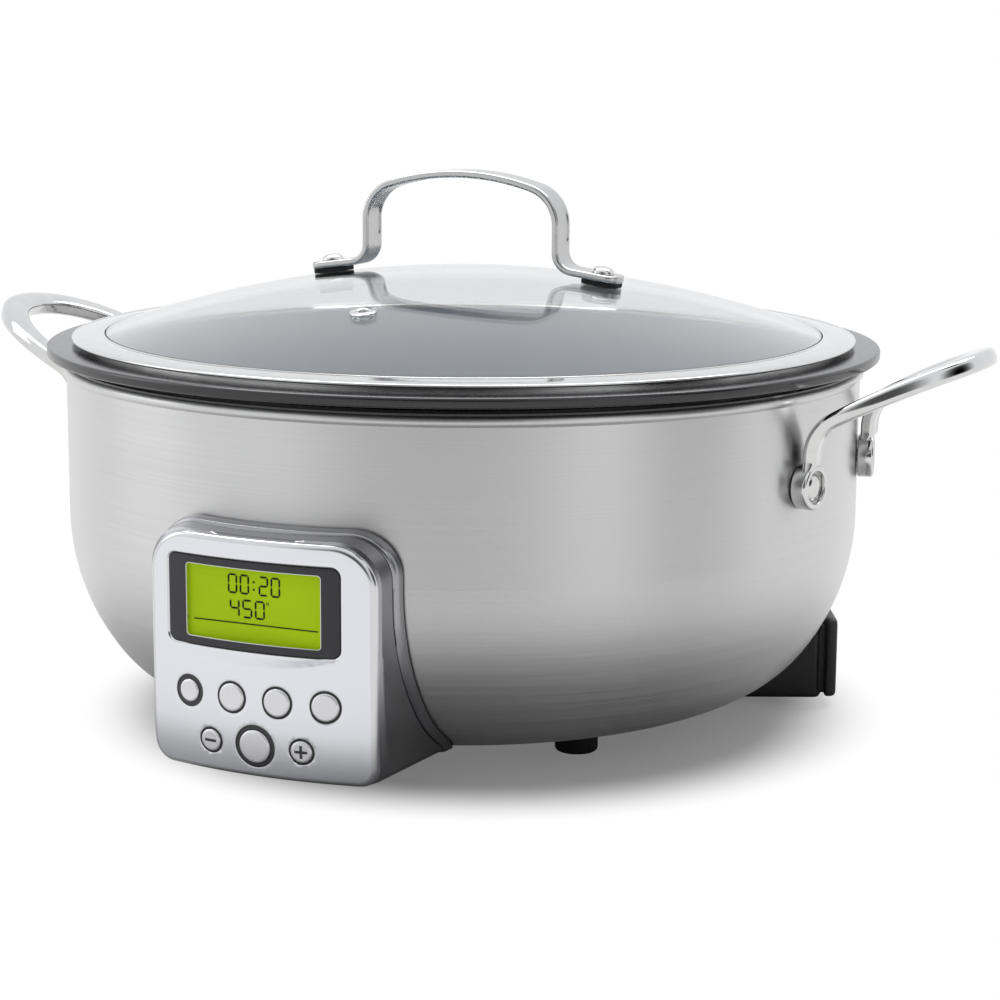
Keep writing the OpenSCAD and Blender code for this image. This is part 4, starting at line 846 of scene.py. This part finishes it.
dome_r, dome_z, glass_r, glass_t = 461.08, -273.18, 151.5, 4.0
under_r = dome_r - glass_t
tilt = np.linspace(0, np.arcsin(glass_r / dome_r), 44)
under = np.linspace(np.arcsin((glass_r - 0.4) / under_r), 0, 44)
glass_line = np.concatenate([np.stack([dome_r * np.sin(tilt), dome_z + dome_r * np.cos(tilt)], 1),
                             np.stack([under_r * np.sin(under), dome_z + under_r * np.cos(under)], 1)])
clear_glass = new_finish(
    "clear_glass", 0.0, 12, (0.0, 0.015), (0.965, 0.985, 0.98), detail=1.0, Transmission_Weight=1.0, IOR=1.5)
make_piece("lid_dome", [turned(glass_line, 320, closed=False)], [clear_glass], "lid", ["lid_glass"],
           crease=30)


def on_dome(made, tilt_x, tilt_y):
    """Stands a shape on the dome: its height adds to the dome's radius, and it tips over in X or in Y."""
    points, quads, finish = made
    x, y, z = points[:, 0], points[:, 1], points[:, 2] + dome_r
    x, z = x * np.cos(tilt_x) + z * np.sin(tilt_x), z * np.cos(tilt_x) - x * np.sin(tilt_x)
    y, z = y * np.cos(tilt_y) + z * np.sin(tilt_y), z * np.cos(tilt_y) - y * np.sin(tilt_y)
    return np.stack([x, y, z + dome_z], 1), quads, finish


vent_tilt = -np.arcsin(95.0 / dome_r)
eyelet = np.concatenate([[(2.0, -5.2), (4.5, -5.2), (4.5, -4.1), (3.0, -4.1), (3.0, 0.1)],
                         arc_points(4.9, 0.7, 0.6, -90, 60, 7), [(3.2, 1.3)],
                         arc_points(2.8, 0.6, 0.8, 90, 180, 6)])
make_piece("lid_eyelet", [on_dome(turned(eyelet, 64), 0.0, vent_tilt)], [polished_steel], "lid", ["lid_vent"],
           crease=50)


# Lid handle: one satin steel strap bent into an arch, with a foot at each end on a black pad.
# A rivet through each foot, pad and glass is drawn up by a light grey nut under the dome.
strap_w, strap_t, edge_r, toe_r, pad_t, seam = 7.0, 1.5, 1.1, 5.5, 2.0, 0.1
foot_tilt = np.arcsin(62.5 / dome_r)


def strap_path():
    """Middle line of the strap in X and Z: toe, bend, post, shoulder and arch, then their mirror image."""
    foot_r, t = dome_r + seam + pad_t + seam + strap_t, foot_tilt
    foot = np.array((foot_r * np.sin(t), dome_z + foot_r * np.cos(t)))
    along = np.array((-np.cos(t), np.sin(t)))
    bend_x, bend_r, shoulder_r, arch_r, post_x, top, toe_l = 52.0, 8.0, 16.0, 110.0, 44.0, 229.5, 9.0
    heel_at = foot + along * (foot[0] - (bend_x - bend_r * np.sin(t))) / np.cos(t)
    bend_z = heel_at[1] + bend_r * np.cos(t)
    arch_z = top - strap_t - arch_r
    shoulder_x = post_x - shoulder_r
    shoulder_a = np.degrees(np.arccos(shoulder_x / (arch_r - shoulder_r)))
    shoulder_z = arch_z + (arch_r - shoulder_r) * np.sin(np.radians(shoulder_a))
    run = np.concatenate([np.linspace(foot - along * toe_l, heel_at, 26)[:-1],
                          arc_points(bend_x, bend_z, bend_r, 270 - np.degrees(t), 180, 16)[:-1],
                          np.linspace((post_x, bend_z), (post_x, shoulder_z), 30)[:-1],
                          arc_points(shoulder_x, shoulder_z, shoulder_r, 0, shoulder_a, 24)[:-1],
                          arc_points(0, arch_z, arch_r, shoulder_a, 90, 22)])
    return np.concatenate([run, run[-2::-1] * (-1, 1)]), bend_z, shoulder_z


path, post_low, post_high = strap_path()
ahead = np.gradient(path, axis=0)
ahead /= np.linalg.norm(ahead, axis=1)[:, None]
outer_side = np.stack([ahead[:, 1], -ahead[:, 0]], 1)
flat_w, flat_t = strap_w - edge_r, strap_t - edge_r
half = np.concatenate([np.stack([np.linspace(flat_w, -flat_w, 30), np.full(30, strap_t)], 1),
                       arc_points(-flat_w, flat_t, edge_r, 90, 180, 7)[1:],
                       arc_points(-flat_w, -flat_t, edge_r, 180, 270, 7),
                       np.stack([np.linspace(-flat_w, flat_w, 30), np.full(30, -strap_t)], 1)[1:],
                       arc_points(flat_w, -flat_t, edge_r, 270, 360, 7)[1:],
                       arc_points(flat_w, flat_t, edge_r, 0, 90, 7)[:-1]])
step = np.concatenate([[0], np.cumsum(np.linalg.norm(np.diff(path, axis=0), axis=1))])
from_end = np.minimum(step, step[-1] - step)
toe = np.sqrt(np.clip(1 - np.clip(1 - from_end / toe_r, 0, 1) ** 2, 0.0025, 1))
side_y = half[:, 0] * toe[:, None]
height = path[:, 1:] + 0 * side_y
# A shallow panel pressed into the inner face of each post, with a soft edge
press, press_edge = 0.65, 0.9
on_post = rect_depth(np.stack([side_y, height], -1), 4.9, post_low + 3.0, post_high + 6.0, 2.6)
inner_face = (path[:, :1] < -20) & (half[:, 1] > 1.0) | (path[:, :1] > 20) & (half[:, 1] < -1.0)
pressed = press * inner_face * np.clip(0.5 - on_post / press_edge, 0, 1)
out = half[:, 1] - np.sign(half[:, 1]) * pressed
rows = np.stack([path[:, :1] - out * outer_side[:, :1], side_y, path[:, 1:] - out * outer_side[:, 1:]], -1)
satin_steel = new_finish(
    "satin_steel", 1.0, 160, (0.20, 0.28), ((0.50, 0.50, 0.495), (0.54, 0.54, 0.535)), (0.02, 0.0002))
make_piece("lid_strap", [sheet(capped(rows))], [satin_steel], "lid", ["lid_handle"],
           crease=40)

both_feet = lambda made: [on_dome(made, side * foot_tilt, 0.0) for side in (-1, 1)]
pad = lambda inset: round_outline(8.5, -6.5, 6.5, 4.0, 4.0, inset, edge=10)
pad_rows = [at_z(pad(inset), z) for inset, z in
            ((3.0, 0.1), (0.8, 0.1), (0.5, 0.4), (0.5, 1.8), (0.8, 2.1), (3.0, 2.1))]
make_piece("lid_pads", both_feet(sheet(capped(pad_rows))), [rubber], "lid", ["lid_spacers"])
head_low, head_r, rivet_l = pad_t + 2 * strap_t + 0.3, 4.75, 9.0
tail_z = head_low - rivet_l
head_line = np.concatenate([[(0, tail_z), (2.4, tail_z), (2.4, head_low), (head_r, head_low)],
                            dome_line(head_r, 2.55, head_low + 0.05)])
make_piece("lid_rivet_heads", both_feet(turned(head_line, 56, closed=False)), [polished_steel],
           "lid", ["lid_rivets"], crease=50)
nut_line = np.concatenate([[(0, -4.2), (7.1, -4.2)], arc_points(7.1, -4.6, 0.4, 90, 0, 4),
                           arc_points(6.1, -7.8, 1.4, 0, -90, 8), [(0, -9.2)]])
nut_grey = new_finish("nut_grey", 0.0, 900, (0.34, 0.48), ((0.56, 0.57, 0.58), (0.64, 0.65, 0.66)))
make_piece("lid_nut_caps", both_feet(turned(nut_line, 56, closed=False)), [nut_grey],
           "lid", ["lid_nuts"], crease=50)
